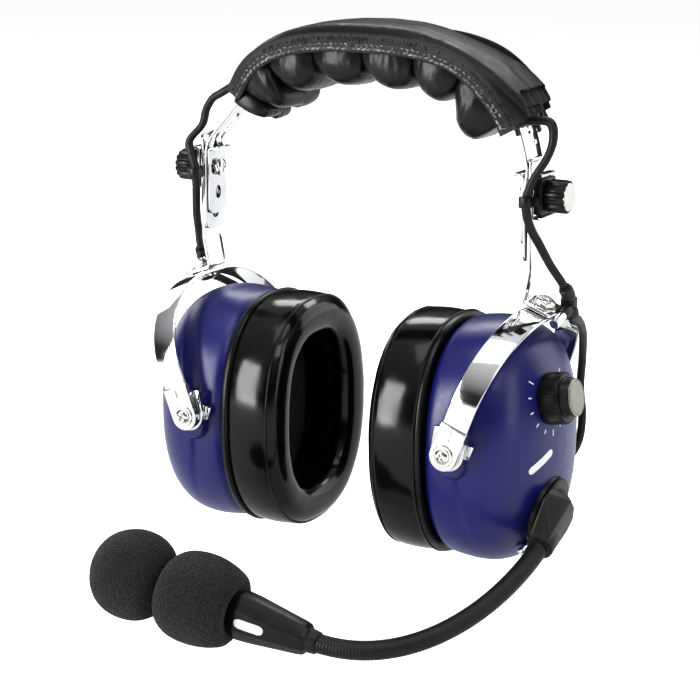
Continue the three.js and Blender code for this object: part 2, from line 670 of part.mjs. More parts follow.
// Tapered eight-sided body: [distance, half width, half height].
const MIC_LEVELS = [
  [0.6, 5.0, 5.2], [2.2, 6.0, 6.4], [7, 6.6, 7.2], [26, 7.6, 9.6],
  [33, 7.8, 10.2], [34.2, 7.0, 9.4], [38, 6.4, 8.2],
];
const FLAT = 0.42; // flat's share of each side
const OCTAGON = [
  [1, FLAT], [FLAT, 1], [-FLAT, 1], [-1, FLAT], [-1, -FLAT], [-FLAT, -1], [FLAT, -1], [1, -FLAT],
];
add("mic_body", loft(MIC_LEVELS.map(([distance, width, height]) =>
  OCTAGON.map(([side, up]) => onMic(distance, side * width, up * height)))), "black");

add("mic_capsule", mic.rod(5.6, 38.4, 34, 18), "steel");

// A ball of foam cut off square at both ends.
function foamBall({ centre, halfLength, radius, start, end }) {
  return loft(range(0, 9, 1).map((i) => {
    const distance = start + ((end - start) * i) / 9;
    const squared = 1 - ((distance - centre) / halfLength) ** 2;
    const ringRadius = Math.sqrt(Math.max(0.03, squared)) * radius;
    return around(16, (angle) =>
      onMic(distance, ringRadius * Math.cos(angle), ringRadius * Math.sin(angle)));
  }));
}
const FOAM_BORE_R = 6;
add("foam_rear", cut(
  foamBall({ centre: 53.5, halfLength: 19.2, radius: 19.4, start: 35.2, end: 68.7 }),
  mic.rod(11.2, 30, 8.3, 18),
  mic.rod(FOAM_BORE_R, 30, 45, 18)), "foam");
add("foam_tip", cut(
  foamBall({ centre: 83.8, halfLength: 18.8, radius: 19, start: 69.1, end: 102.4 }),
  mic.rod(FOAM_BORE_R, 60, 12.9, 18)), "foam");

export default root;
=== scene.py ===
# Aviation headset: a padded spring headband, two ear cups hung in yokes, and a microphone on a
# gooseneck at the left cup. +X is the wearer's left, -Y the front, +Z up.
# Dimensions are in millimetres unless a comment says metres; meshes are stored in metres.
import math

import bmesh
import bpy
import numpy as np
from mathutils import Matrix, Vector, noise
from mathutils.bvhtree import BVHTree


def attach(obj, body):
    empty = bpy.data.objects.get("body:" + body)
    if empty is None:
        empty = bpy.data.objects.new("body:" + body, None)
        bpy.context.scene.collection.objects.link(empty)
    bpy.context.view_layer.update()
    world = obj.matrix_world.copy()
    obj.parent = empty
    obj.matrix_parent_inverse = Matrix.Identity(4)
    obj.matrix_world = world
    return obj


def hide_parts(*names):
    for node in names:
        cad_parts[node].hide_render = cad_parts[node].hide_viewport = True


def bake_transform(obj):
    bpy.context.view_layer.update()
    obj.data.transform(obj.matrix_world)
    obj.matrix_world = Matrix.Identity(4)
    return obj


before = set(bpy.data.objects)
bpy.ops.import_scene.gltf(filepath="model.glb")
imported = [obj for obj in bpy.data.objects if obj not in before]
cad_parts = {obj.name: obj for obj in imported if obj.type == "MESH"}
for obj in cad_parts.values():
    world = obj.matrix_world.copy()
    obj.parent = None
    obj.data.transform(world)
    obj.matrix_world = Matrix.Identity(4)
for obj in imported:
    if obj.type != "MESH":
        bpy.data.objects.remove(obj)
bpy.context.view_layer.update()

MM = 1e-3
scene = bpy.context.scene


def vec(*v):
    return np.array(v, float)


def unit(v):
    v = np.asarray(v, float)
    return v / np.linalg.norm(v)


def leaned(degrees):
    """The X and Z axes turned about Y, so that Z leans towards +X."""
    a = math.radians(degrees)
    return vec(math.cos(a), 0, -math.sin(a)), vec(math.sin(a), 0, math.cos(a))


# ------------------------------------------------------------------ shared dimensions
X, Y, Z = np.eye(3)
MIRROR = vec(-1, 1, 1)
ENDS = (("front", -1), ("rear", 1))   # the two ends of a yoke and their direction along Y

# spring centre line from the crown down the left side: x, z
ARCH = [(0, 15), (16, 14.6), (32, 12.6), (46, 7.9), (57, -0.3), (64.8, -10.2),
        (70.8, -19.6), (75.6, -27.8), (78.4, -33.6), (79, -37), (79, -40)]
LEG_X = ARCH[-1][0]
CLAMP_Z = -45.9
CLAMP = vec(0, 0, CLAMP_Z)

YOKE_OUT, YOKE_UP = leaned(21)
BOLT = vec(85.2, 0, -94.05)
YOKE_TOP = BOLT - 2.0 * YOKE_UP
PIVOT_DROP = 57.2                     # from the top of the yoke down to the cup pivots

CUP_Z = -153.5
BALANCE, BALANCE_AXIS = vec(95.3, -9, -130.5), leaned(-10)[0]
SWING = vec(94.4, -6, -181.5)         # centre of the boom swivel
SWING_AXIS, SWING_UP = leaned(12)
# Bezier control points of the gooseneck
BOOM = vec([97, -23.4, -190.9], [97, -69.3, -207.8], [69.1, -97.7, -228.1], [29.2, -100.7, -220.3])
BOOM_START = unit(BOOM[1] - BOOM[0])
MIC = BOOM[3]
MIC_AXIS = unit([-0.979, -0.075, 0.192])
MIC_REAR = unit(np.cross(MIC_AXIS, Z))
MIC_UP = unit(np.cross(MIC_REAR, MIC_AXIS))


# ------------------------------------------------------------------ material kit
def node(tree, kind, inputs=(), **settings):
    """Adds a shader node; each input takes a value or the output socket that feeds it."""
    made = tree.nodes.new("ShaderNode" + kind)
    for key, value in settings.items():
        setattr(made, key, value)
    for key, value in dict(inputs).items():
        if isinstance(value, bpy.types.NodeSocket):
            tree.links.new(value, made.inputs[key])
        else:
            made.inputs[key].default_value = value
    return made


MATS = {}


class Material:
    """A Principled material with procedural colour, roughness and relief."""

    def __init__(self, name, base, rough, metal=0.0, **inputs):
        made = bpy.data.materials.new(name)
        made.use_nodes = True
        self.tree = made.node_tree
        self.tree.nodes.clear()
        values = {"Base Color": (*base, 1), "Roughness": rough, "Metallic": metal}
        values.update({key.replace("_", " "): value for key, value in inputs.items()})
        self.shader = node(self.tree, "BsdfPrincipled", values)
        node(self.tree, "OutputMaterial", {0: self.shader.outputs[0]})
        self.coord = node(self.tree, "TexCoord").outputs["Object"]
        self.relief = None
        MATS[name] = made

    def feed(self, source, name):
        self.tree.links.new(source, self.shader.inputs[name])

    def mapped(self, stretch=(1, 1, 1)):
        return node(self.tree, "Mapping", {"Vector": self.coord, "Scale": stretch}).outputs[0]

    def noise(self, scale, detail=3.0, rough=0.55, stretch=(1, 1, 1)):
        return node(self.tree, "TexNoise", {
            "Vector": self.mapped(stretch), "Scale": scale, "Detail": detail,
            "Roughness": rough}).outputs[0]

    def cells(self, scale, feature="F1"):
        return node(self.tree, "TexVoronoi", {"Vector": self.mapped(), "Scale": scale},
                    feature=feature).outputs["Distance"]

    def remap(self, source, low, high, to_low=0.0, to_high=1.0):
        return node(self.tree, "MapRange", {
            "Value": source, "From Min": low, "From Max": high,
            "To Min": to_low, "To Max": to_high}).outputs[0]

    def grooves(self, scale, high):
        """Narrow grooves between cells."""
        return self.remap(self.cells(scale, "DISTANCE_TO_EDGE"), 0.0, high)

    def roughness(self, source, low, high):
        self.feed(self.remap(source, 0.3, 0.7, low, high), "Roughness")

    def color(self, source, dark, light, low=0.3, high=0.7):
        factor = self.remap(source, low, high)
        mix = node(self.tree, "Mix", {0: factor, 6: (*dark, 1), 7: (*light, 1)}, data_type="RGBA")
        self.feed(mix.outputs[2], "Base Color")

    def bump(self, source, strength, depth):
        """Relief `depth` mm deep, laid over the relief already there."""
        inputs = {"Strength": strength, "Distance": depth * MM, "Height": source}
        if self.relief is not None:
            inputs["Normal"] = self.relief
        self.relief = node(self.tree, "Bump", inputs).outputs[0]
        self.feed(self.relief, "Normal")


# ------------------------------------------------------------------ materials
mat = Material("chrome", base=(0.66, 0.67, 0.68), rough=0.07, metal=1.0)
mat.roughness(mat.noise(scale=90, detail=4), low=0.04, high=0.13)
mat.bump(mat.noise(scale=260, detail=2, rough=0.5), strength=0.12, depth=0.05)
mat.color(mat.noise(scale=60), dark=(0.58, 0.59, 0.60), light=(0.72, 0.73, 0.74))

mat = Material("chrome_yoke", base=(0.76, 0.76, 0.77), rough=0.05, metal=1.0)
mat.roughness(mat.noise(scale=70, detail=4), low=0.03, high=0.10)
mat.bump(mat.noise(scale=55, rough=0.5), strength=0.35, depth=0.05)

mat = Material("steel_nut", base=(0.72, 0.72, 0.70), rough=0.16, metal=1.0)
mat.roughness(mat.noise(scale=500, detail=4), low=0.08, high=0.28)
mat.bump(mat.noise(scale=900, detail=2), strength=0.25, depth=0.03)

mat = Material("ferrule", base=(0.88, 0.88, 0.90), rough=0.22, metal=1.0)
mat.roughness(mat.noise(scale=300), low=0.15, high=0.3)

mat = Material("shell_blue", base=(0.008, 0.009, 0.085), rough=0.34,
               Specular_IOR_Level=0.42, Coat_Weight=0.18, Coat_Roughness=0.28)
mat.roughness(mat.noise(scale=420, detail=4), low=0.30, high=0.40)
mat.bump(mat.noise(scale=2600, detail=2, rough=0.6), strength=0.18, depth=0.02)
mat.bump(mat.noise(scale=45, detail=2), strength=0.10, depth=0.12)
mat.color(mat.noise(scale=14), dark=(0.0065, 0.0080, 0.100), light=(0.0100, 0.0120, 0.135))

mat = Material("seal_vinyl", base=(0.0025,) * 3, rough=0.16, Specular_IOR_Level=0.36)
mat.roughness(mat.noise(scale=130, detail=5, rough=0.6), low=0.10, high=0.20)
mat.bump(mat.noise(scale=60, rough=0.5, stretch=(1, 1, 0.45)), strength=0.22, depth=0.40)
mat.bump(mat.cells(scale=2300), strength=0.07, depth=0.03)

mat = Material("band_leather", base=(0.006,) * 3, rough=0.36, Specular_IOR_Level=0.24)
mat.roughness(mat.noise(scale=110, detail=4), low=0.28, high=0.46)
mat.bump(mat.grooves(scale=1100, high=0.16), strength=0.32, depth=0.07)
mat.bump(mat.noise(scale=120, detail=4), strength=0.22, depth=0.35)
mat.color(mat.noise(scale=40), dark=(0.0042, 0.0042, 0.0044), light=(0.009, 0.0085, 0.0085))

mat = Material("pad_vinyl", base=(0.008, 0.0075, 0.009), rough=0.32, Specular_IOR_Level=0.30)
mat.roughness(mat.noise(scale=90, detail=4), low=0.26, high=0.38)
mat.bump(mat.grooves(scale=1500, high=0.2), strength=0.14, depth=0.04)
mat.bump(mat.noise(scale=70, detail=4, rough=0.6, stretch=(1, 0.5, 1)), strength=0.30, depth=0.5)
mat.color(mat.noise(scale=50), dark=(0.006, 0.0056, 0.0068), light=(0.012, 0.0112, 0.0132))

mat = Material("edge_binding", base=(0.010,) * 3, rough=0.62)
mat.bump(mat.noise(scale=900), strength=0.5, depth=0.10)
mat.color(mat.noise(scale=500), dark=(0.004,) * 3, light=(0.020, 0.020, 0.019))

mat = Material("thread_grey", base=(0.16, 0.16, 0.15), rough=0.72, Specular_IOR_Level=0.2)
mat.color(mat.noise(scale=230, detail=4, rough=0.7), dark=(0.020, 0.020, 0.019),
          light=(0.34, 0.34, 0.33), low=0.36, high=0.64)
mat.bump(mat.noise(scale=4200, detail=1, rough=0.5), strength=0.5, depth=0.05)

mat = Material("thread_dark", base=(0.03,) * 3, rough=0.75)
mat.color(mat.noise(scale=260, detail=4), dark=(0.004,) * 3, light=(0.055, 0.055, 0.052),
          low=0.42, high=0.66)
mat.bump(mat.noise(scale=4200, detail=1), strength=0.5, depth=0.05)

mat = Material("windscreen_foam", base=(0.008,) * 3, rough=0.95,
               Specular_IOR_Level=0.25, Sheen_Weight=0.12, Sheen_Roughness=0.5)
mat.bump(mat.remap(mat.cells(scale=1250), low=0.15, high=0.75), strength=1.0, depth=0.50)
mat.bump(mat.noise(scale=1900, rough=0.7), strength=0.9, depth=0.30)
mat.color(mat.cells(scale=1400), dark=(0.003,) * 3, light=(0.030, 0.029, 0.028),
          low=0.1, high=0.8)

mat = Material("cable_rubber", base=(0.009, 0.0085, 0.009), rough=0.38, Specular_IOR_Level=0.34)
mat.roughness(mat.noise(scale=200, detail=4), low=0.36, high=0.50)
mat.bump(mat.noise(scale=1500), strength=0.18, depth=0.04)
mat.color(mat.noise(scale=90), dark=(0.007, 0.0066, 0.007), light=(0.013, 0.012, 0.0122))

mat = Material("black_plastic", base=(0.006,) * 3, rough=0.33, Specular_IOR_Level=0.34)
mat.roughness(mat.noise(scale=300, detail=4), low=0.27, high=0.42)
mat.bump(mat.noise(scale=3000, detail=2), strength=0.16, depth=0.025)
mat.color(mat.noise(scale=80, detail=2), dark=(0.0045,) * 3, light=(0.008,) * 3)

mat = Material("satin_moulding", base=(0.014, 0.015, 0.012), rough=0.42, Specular_IOR_Level=0.42)
mat.roughness(mat.noise(scale=260, detail=4), low=0.38, high=0.52)
mat.bump(mat.noise(scale=3200, detail=2), strength=0.22, depth=0.03)
mat.color(mat.noise(scale=60), dark=(0.010, 0.011, 0.009), light=(0.018, 0.019, 0.016))

mat = Material("lip_rubber", base=(0.004,) * 3, rough=0.28, Specular_IOR_Level=0.34)
mat.roughness(mat.noise(scale=160, detail=4), low=0.24, high=0.38)
mat.bump(mat.noise(scale=600), strength=0.2, depth=0.05)

# turned metal: fine rings that follow the distance from the balance knob's axis
mat = Material("cap_face", base=(0.30, 0.30, 0.27), rough=0.32, metal=0.85)
offset = node(mat.tree, "VectorMath", {0: mat.coord, 1: BALANCE * MM}, operation="SUBTRACT")
across = node(mat.tree, "VectorMath", {0: offset.outputs[0], 1: BALANCE_AXIS},
              operation="CROSS_PRODUCT")
radius = node(mat.tree, "VectorMath", {0: across.outputs[0]}, operation="LENGTH")
rings = node(mat.tree, "TexNoise", {"Scale": 5200, "Detail": 3, "W": radius.outputs["Value"]},
             noise_dimensions="1D").outputs[0]
mat.bump(rings, strength=0.35, depth=0.05)
mat.roughness(rings, low=0.26, high=0.46)

mat = Material("knob_face_left", base=(0.62, 0.63, 0.60), rough=0.32, metal=0.85)
mat.roughness(mat.noise(scale=300, detail=4), low=0.25, high=0.36)
mat.bump(mat.noise(scale=1800, detail=2), strength=0.15, depth=0.02)

mat = Material("white_print", base=(0.80, 0.82, 0.84), rough=0.45)
mat.color(mat.noise(scale=900), dark=(0.66, 0.69, 0.73), light=(0.86, 0.88, 0.90))

# a spare finish, worn by no piece
mat = Material("dark_recess", base=(0.003,) * 3, rough=0.7)
mat.bump(mat.noise(scale=700), strength=0.3, depth=0.1)
mat.roughness(mat.noise(scale=300), low=0.55, high=0.8)


# ------------------------------------------------------------------ objects
def shade(obj, sharp):
    mesh = obj.data
    mesh.polygons.foreach_set("use_smooth", [True] * len(mesh.polygons))
    mesh.set_sharp_from_angle(angle=math.radians(sharp))
    mesh.update()


def add_object(name, shape, mat=None, sharp=38, weld=2e-6):
    """An object from (vertices in mm, faces); weld is a distance in metres."""
    verts, faces = shape
    mesh = bpy.data.meshes.new(name)
    mesh.from_pydata((np.asarray(verts, float) * MM).tolist(), [],
                     [[int(i) for i in face] for face in faces])
    bm = bmesh.new()
    bm.from_mesh(mesh)
    if weld:
        bmesh.ops.remove_doubles(bm, verts=bm.verts, dist=weld)
    bmesh.ops.recalc_face_normals(bm, faces=bm.faces)
    bm.to_mesh(mesh)
    bm.free()
    obj = bpy.data.objects.new(name, mesh)
    scene.collection.objects.link(obj)
    if mat is not None:
        mesh.materials.append(MATS[mat])
    shade(obj, sharp)
    return obj


def bake(obj):
    """Applies the modifiers."""
    bpy.context.view_layer.update()
    depsgraph = bpy.context.evaluated_depsgraph_get()
    mesh = bpy.data.meshes.new_from_object(obj.evaluated_get(depsgraph))
    obj.modifiers.clear()
    obj.data = mesh


def bevel(obj, width, segments=2, angle=32, sharp=32):
    mod = obj.modifiers.new("bevel", "BEVEL")
    mod.width = width * MM
    mod.segments = segments
    mod.limit_method = "ANGLE"
    mod.angle_limit = math.radians(angle)
    mod.use_clamp_overlap = True
    bake(obj)
    shade(obj, sharp)
    return obj


def boolean(obj, tools, operation="DIFFERENCE", edge=0.0, segments=2, sharp=32):
    """Cuts or joins with shapes or objects, then bevels the edges by `edge`."""
    tools = [t if isinstance(t, bpy.types.Object) else add_object("tool", t) for t in tools]
    for tool in tools:
        mod = obj.modifiers.new("boolean", "BOOLEAN")
        mod.operation = operation
        mod.solver = "EXACT"
        mod.object = tool
    bake(obj)
    for tool in tools:
        bpy.data.objects.remove(tool)
    if edge:
        bevel(obj, edge, segments, sharp=sharp)
    else:
        shade(obj, sharp)
    return obj


def ride(obj, body, slot, *nodes):
    """Ties an object to a moving body and hides the CAD pieces it replaces; the slot argument is
    not used.
    """
    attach(obj, body)
    if nodes:
        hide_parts(*nodes)


def twin(obj):
    mesh = obj.data.copy()
    mesh.transform(Matrix.Diagonal((-1, 1, 1, 1)))
    mesh.flip_normals()
    other = bpy.data.objects.new(obj.name.replace("_left", "_right"), mesh)
    scene.collection.objects.link(other)
    return other


def pair(obj, body, slot, *nodes):
    """Mirrors a left piece and ties both."""
    other = twin(obj)
    for piece, side in ((obj, "_left"), (other, "_right")):
        ride(piece, body + side, slot, *[name + side for name in nodes])


def displace(obj, height):
    """Moves each vertex along its normal by height(x, y, z), all in mm."""
    mesh = obj.data
    mesh.update()
    co = np.array([v.co[:] for v in mesh.vertices])
    normals = np.array([v.normal[:] for v in mesh.vertices])
    shift = np.array([height(*(p / MM)) for p in co])
    co = co + normals * shift[:, None] * MM
    mesh.vertices.foreach_set("co", co.astype(np.float32).ravel())
    mesh.update()


def perlin(x, y, z):
    return noise.noise(Vector((x, y, z)))


def fbm(x, y, z, octaves=3):
    return sum(perlin(x * 2 ** i, y * 2 ** i, z * 2 ** i) / 2 ** i for i in range(octaves))


def ease(x):
    x = np.clip(x, 0, 1)
    return x * x * (3 - 2 * x)


# ------------------------------------------------------------------ shapes: (vertices, faces)
def skin(rings, closed=False, cap="ngon", sheet=False):
    """Quads between rings; the ends get one face or a fan. A sheet is open all round."""
    rings = [np.asarray(r, float) for r in rings]
    n, m = len(rings[0]), len(rings)
    verts, faces = list(np.concatenate(rings)), []
    for i in range(m if closed else m - 1):
        a, b = i * n, ((i + 1) % m) * n
        for j in range(n - 1 if sheet else n):
            k = (j + 1) % n
            faces.append((a + j, b + j, b + k, a + k))
    if closed or sheet:
        return np.array(verts), faces
    if cap == "ngon":
        faces.append(tuple(range(n))[::-1])
        faces.append(tuple((m - 1) * n + j for j in range(n)))
    else:
        for i, flip in ((0, True), (m - 1, False)):
            centre = len(verts)
            verts.append(rings[i].mean(0))
            for j in range(n):
                a, b = i * n + j, i * n + (j + 1) % n
                faces.append((centre, b, a) if flip else (centre, a, b))
    return np.array(verts), faces


def merge(*shapes):
    verts, faces, offset = [], [], 0
    for v, f in shapes:
        verts.append(np.asarray(v, float))
        faces += [tuple(i + offset for i in face) for face in f]
        offset += len(v)
    return np.concatenate(verts), faces


def travel(path):
    """Distance travelled at each point of a path."""
    return np.r_[0, np.cumsum(np.linalg.norm(np.diff(path, axis=0), axis=1))]


def catmull(points, closed=False, per=24):
    """Centripetal Catmull-Rom curve through the points, `per` steps to a span."""
    pts = [np.asarray(p, float) for p in points]
    n = len(pts)
    out = []
    for i in range(n if closed else n - 1):
        if closed:
            p0, p1, p2, p3 = pts[i - 1], pts[i], pts[(i + 1) % n], pts[(i + 2) % n]
        else:
            p1, p2 = pts[i], pts[i + 1]
            p0 = pts[i - 1] if i else 2 * p1 - p2
            p3 = pts[i + 2] if i + 2 < n else 2 * p2 - p1
        d0, d1, d2 = (max(1e-4, np.linalg.norm(b - a)) ** 0.5
                      for a, b in ((p0, p1), (p1, p2), (p2, p3)))
        t1 = ((p1 - p0) / d0 - (p2 - p0) / (d0 + d1) + (p2 - p1) / d1) * d1
        t2 = ((p2 - p1) / d1 - (p3 - p1) / (d1 + d2) + (p3 - p2) / d2) * d1
        for k in range(per):
            u = k / per
            out.append(p1 + t1 * u + (-3 * p1 + 3 * p2 - 2 * t1 - t2) * u * u
                       + (2 * p1 - 2 * p2 + t1 + t2) * u ** 3)
    if not closed:
        out.append(pts[-1])
    return np.array(out)


def resample(path, n, closed=False):
    """The path cut into n equal steps."""
    path = np.asarray(path, float)
    if closed:
        path = np.vstack([path, path[:1]])
    d = travel(path)
    t = np.linspace(0, d[-1], n + 1)
    out = np.stack([np.interp(t, d, path[:, k]) for k in range(path.shape[1])], 1)
    return out[:-1] if closed else out


def fillet(points, radii, steps):
    """Rounds each inner corner of a polyline by its radius."""
    pts = [np.asarray(p, float) for p in points]
    out = [pts[0]]
    for before, corner, after, r in zip(pts, pts[1:], pts[2:], radii):
        a, b = unit(before - corner), unit(after - corner)
        half = math.acos(max(-1, min(1, a @ b))) / 2
        d = min(r / math.tan(half), 0.48 * np.linalg.norm(before - corner),
                0.48 * np.linalg.norm(after - corner))
        r = d * math.tan(half)
        centre = corner + unit(a + b) * (r / math.sin(half))
        s, e = corner + a * d - centre, corner + b * d - centre
        turn = math.acos(max(-1, min(1, unit(s) @ unit(e))))
        for j in range(steps + 1):
            u = j / steps
            out.append(centre + (math.sin((1 - u) * turn) * s + math.sin(u * turn) * e)
                       / max(1e-6, math.sin(turn)))
    out.append(pts[-1])
    return np.array(out)


def densify(path, step):
    out = [path[0]]
    for a, b in zip(path[:-1], path[1:]):
        k = max(1, int(np.ceil(np.linalg.norm(b - a) / step)))
        out += [a + (b - a) * j / k for j in range(1, k + 1)]
    return np.array(out)


def between(a, b, *parts):
    """Points at the given fractions of the way from a to b."""
    return a + (b - a) * np.array(parts)[:, None]


def arc(centre, radius, start, end, steps):
    angles = [math.radians(start + (end - start) * j / steps) for j in range(steps + 1)]
    return [(centre[0] + radius * math.cos(a), centre[1] + radius * math.sin(a)) for a in angles]


def rounded_rect(width, height, radius, steps=3):
    out = []
    for sx, sy, start in ((1, 1, 0), (-1, 1, 90), (-1, -1, 180), (1, -1, 270)):
        corner = (sx * (width / 2 - radius), sy * (height / 2 - radius))
        out += arc(corner, radius, start, start + 90, steps)
    return out


def ellipse(half_u, half_v, count):
    return [(half_u * math.cos(a), half_v * math.sin(a))
            for a in np.linspace(0, 2 * math.pi, count, endpoint=False)]


def strip(path, across, width, thick, edge, steps=3):
    """Flat strip with rounded edges; width is a number or width(distance, length)."""
    path = np.asarray(path, float)
    across = unit(across)
    legs = [unit(b - a) for a, b in zip(path, path[1:])]
    tangents = [legs[0]] + [unit(a + b) for a, b in zip(legs, legs[1:])] + [legs[-1]]
    along = travel(path)
    rings = []
    for p, tangent, d in zip(path, tangents, along):
        normal = unit(np.cross(tangent, across))
        w = width(d, along[-1]) if callable(width) else width
        rings.append([p + across * u + normal * v
                      for u, v in rounded_rect(w, thick, min(edge, thick * 0.49), steps)])
    return skin(rings)


def rounded_end(full, tip, radius, distance):
    """Width of a strip at a distance from its rounded end."""
    if distance > radius:
        return full
    return tip + (full - tip) * math.sqrt(max(0.0, 1 - ((radius - distance) / radius) ** 2))


def tube(path, radius, count):
    path = np.asarray(path, float)
    last = len(path) - 1
    angles = np.linspace(0, 2 * np.pi, count, endpoint=False)
    normal = None
    rings = []
    for i, r in enumerate(np.broadcast_to(radius, len(path))):
        tangent = unit(path[min(i + 1, last)] - path[max(i - 1, 0)])
        if normal is None:
            normal = np.cross(tangent, Z)
            if np.linalg.norm(normal) < 0.1:
                normal = np.cross(tangent, Y)
            normal = unit(normal)
        normal = unit(normal - tangent * (normal @ tangent))
        side = np.cross(tangent, normal)
        rings.append([path[i] + r * (math.cos(t) * normal + math.sin(t) * side) for t in angles])
    return skin(rings)


def lathe(profile, base, axis, count, radius=None):
    """Turned form: profile is (radius, height along the axis); radius(i, r) may flute it."""
    axis = unit(axis)
    u = np.cross(Y, axis)
    u = unit(u) if np.linalg.norm(u) > 0.1 else unit(np.cross(X, axis))
    w = np.cross(axis, u)
    rings = []
    for r, h in profile:
        ring = []
        for i in range(count):
            a = 2 * math.pi * i / count
            q = radius(i, r) if radius else r
            ring.append(vec(*base) + axis * h + q * (math.cos(a) * u + math.sin(a) * w))
        rings.append(ring)
    return skin(rings)


def rod(base, axis, radius, low, high):
    return lathe([(radius, low), (radius, high)], base, axis, 32)


def prism(outline, low, high, origin, u_axis, v_axis, axis):
    origin, u_axis, v_axis, axis = vec(*origin), unit(u_axis), unit(v_axis), unit(axis)
    return skin([[origin + u_axis * u + v_axis * v + axis * h for u, v in outline]
                 for h in (low, high)])


def cross_recess(obj, length, width, low, high, origin, u_axis, v_axis, axis):
    slots = [prism(rounded_rect(a, b, 0.1, 1), low, high, origin, u_axis, v_axis, axis)
             for a, b in ((length, width), (width, length))]
    boolean(obj, slots, edge=0.08, segments=1)


def oval(x, half_y, half_z, count, power=2.3):
    """Superellipse round the cup centre, in the plane at x."""
    t = np.linspace(0, 2 * np.pi, count, endpoint=False)
    co, si = np.cos(t), np.sin(t)
    return np.stack([np.full(count, float(x)),
                     half_y * np.sign(co) * np.abs(co) ** (2 / power),
                     CUP_Z + half_z * np.sign(si) * np.abs(si) ** (2 / power)], 1)


def even_oval(x, half_y, half_z, count):
    """The same oval with evenly spread points."""
    return resample(oval(x, half_y, half_z, 720), count, closed=True)


# ------------------------------------------------------------------ places on band and yoke
arch = catmull(ARCH, per=60)
arch_d = travel(arch)


def station(s):
    """Point, outward normal and tangent (x, z) at distance s from the crown, left positive."""
    def at(a):
        return vec(np.interp(a, arch_d, arch[:, 0]), np.interp(a, arch_d, arch[:, 1]))
    a = abs(s)
    p = at(a)
    t = unit(at(a + 0.4) - at(max(0.0, a - 0.4))) if a > 0.4 else vec(1, 0)
    g = 1 if s >= 0 else -1
    return vec(g * p[0], p[1]), vec(-g * t[1], t[0]), vec(t[0], g * t[1])


def place(s, y, q):
    """A point of the band: s along the arch, y across it, q out from the spring."""
    p, n, _ = station(s)
    return vec(p[0] + n[0] * q, y, p[1] + n[1] * q)


def on_yoke(y, s):
    """A point in the plane of the yoke, s below its top."""
    return YOKE_TOP - s * YOKE_UP + Y * y


PIVOT = on_yoke(0, PIVOT_DROP)


def sway(obj):
    """All band pieces lean to the left (+X) together; the lean dies out at the clamps."""
    mesh = obj.data
    co = np.array([v.co[:] for v in mesh.vertices])
    co[:, 0] += 7.5 * MM * ease((co[:, 2] / MM + 43.5) / 36.0)
    mesh.vertices.foreach_set("co", co.astype(np.float32).ravel())
    mesh.update()


def band_part(obj, *nodes, slot="leather"):
    sway(obj)
    ride(obj, "headband", slot, *nodes)


# ------------------------------------------------------------------ headband spring
SLOT_WIDTH, SLOT_BOTTOM = 5.4, -69.3
SLOT_TOPS = ((-1, -20.5), (1, -41.5))   # side along X, z: a long slot right, a short one left
SPRING_HOLES = ((-19.2, 0, 1.75, 2.1875), (-24.6, 2.6, 0.8, 0.8))  # z, y, half y, half along


def build_spring():
    half = [place(s, 0, 0)
            for s in np.r_[np.linspace(0, 88, 70), np.linspace(89, arch_d[-1] - 3.2, 14)]]
    half = [p for p in half if p[0] < LEG_X - 0.03]
    leg_z = np.r_[-38.0, np.linspace(-42, -69, 8), np.linspace(-70, -74, 9)]
    side = half + [vec(LEG_X, 0, z) for z in leg_z]
    path = [p * MIRROR for p in side[1:]][::-1] + side

    def width(d, length):
        return rounded_end(16.0, 8.6, 4, min(d, length - d))
    obj = add_object("band_spring", strip(path, Y, width, 1.2, 0.4), "chrome", 30)
    cuts = []
    r = SLOT_WIDTH / 2
    for g, top in SLOT_TOPS:
        outline = arc((0, top - r), r, 0, 180, 12) + arc((0, SLOT_BOTTOM + r), r, 180, 360, 12)
        cuts.append(prism(outline, 66, 86, (0, 0, 0), Y, Z, X * g))
    for z, y, half_y, half_s in SPRING_HOLES:
        p, n, t = station(float(np.interp(-z, -arch[:, 1], arch_d)))
        cuts.append(prism(ellipse(half_y, half_s, 24), -4, 4, (p[0], y, p[1]),
                          Y, (t[0], 0, t[1]), (n[0], 0, n[1])))
    boolean(obj, cuts, edge=0.12, segments=1)
    band_part(obj, "headband_spring", slot="chrome")


# ------------------------------------------------------------------ headband cover
COVER_START = -73.5      # sewn end, right side
COVER_HALF = 21.6        # half width at the crown
COVER_COUNT = 96         # points round a section


def cover_top(s):
    """Height over the spring: it lifts off towards the open left end."""
    a = abs(s)
    if s < 0:
        return 8.7 - 2.3 * min(1.0, a / 55) ** 2
    return 8.7 - 1.9 * math.exp(-((a - 44) / 17) ** 2) + 2.4 * max(0.0, (a - 50) / 22) ** 2


def cover_half(s):
    """Half width: it narrows to both ends."""
    return COVER_HALF - (5.2 * ease((-s - 52) / 22) if s < 0 else 3.0 * ease((s - 62) / 20))


def rear_dip(s):
    """How far the rear shoulder sinks on the left side."""
    return 3.4 * math.exp(-((s - 36) / 20) ** 2)


def cover_section(s):
    h, dip, d = cover_top(s), rear_dip(s), COVER_HALF - cover_half(s)
    wave = 0.25 * fbm(s * 0.05, 3.1, 0.0) + 0.12 * fbm(s * 0.3, 9.1, 0.0)
    points = [  # y, q
        (-19.0 + d, 0.6), (-21.2 + d, 1.2), (-21.9 + d, 3.2), (-21.2 + d, h - 3.4 + wave),
        (-18.4 + d, h - 1.05 + wave), (-12.5, h - 0.15), (-5, h + 0.15),
        (5, h + 0.15 - 0.25 * dip), (12.5, h - 0.4 - 0.65 * dip),
        (17.6 - d, h - 1.9 - wave - dip), (20.4 - d, max(3.3, h - 4.3 - dip)),
        (21.7 - d, 2.2), (21.2 - d, 1.2), (19.0 - d, 0.6), (8, 0.75), (-8, 0.75)]
    return resample(catmull(points, closed=True, per=10), COVER_COUNT, closed=True)


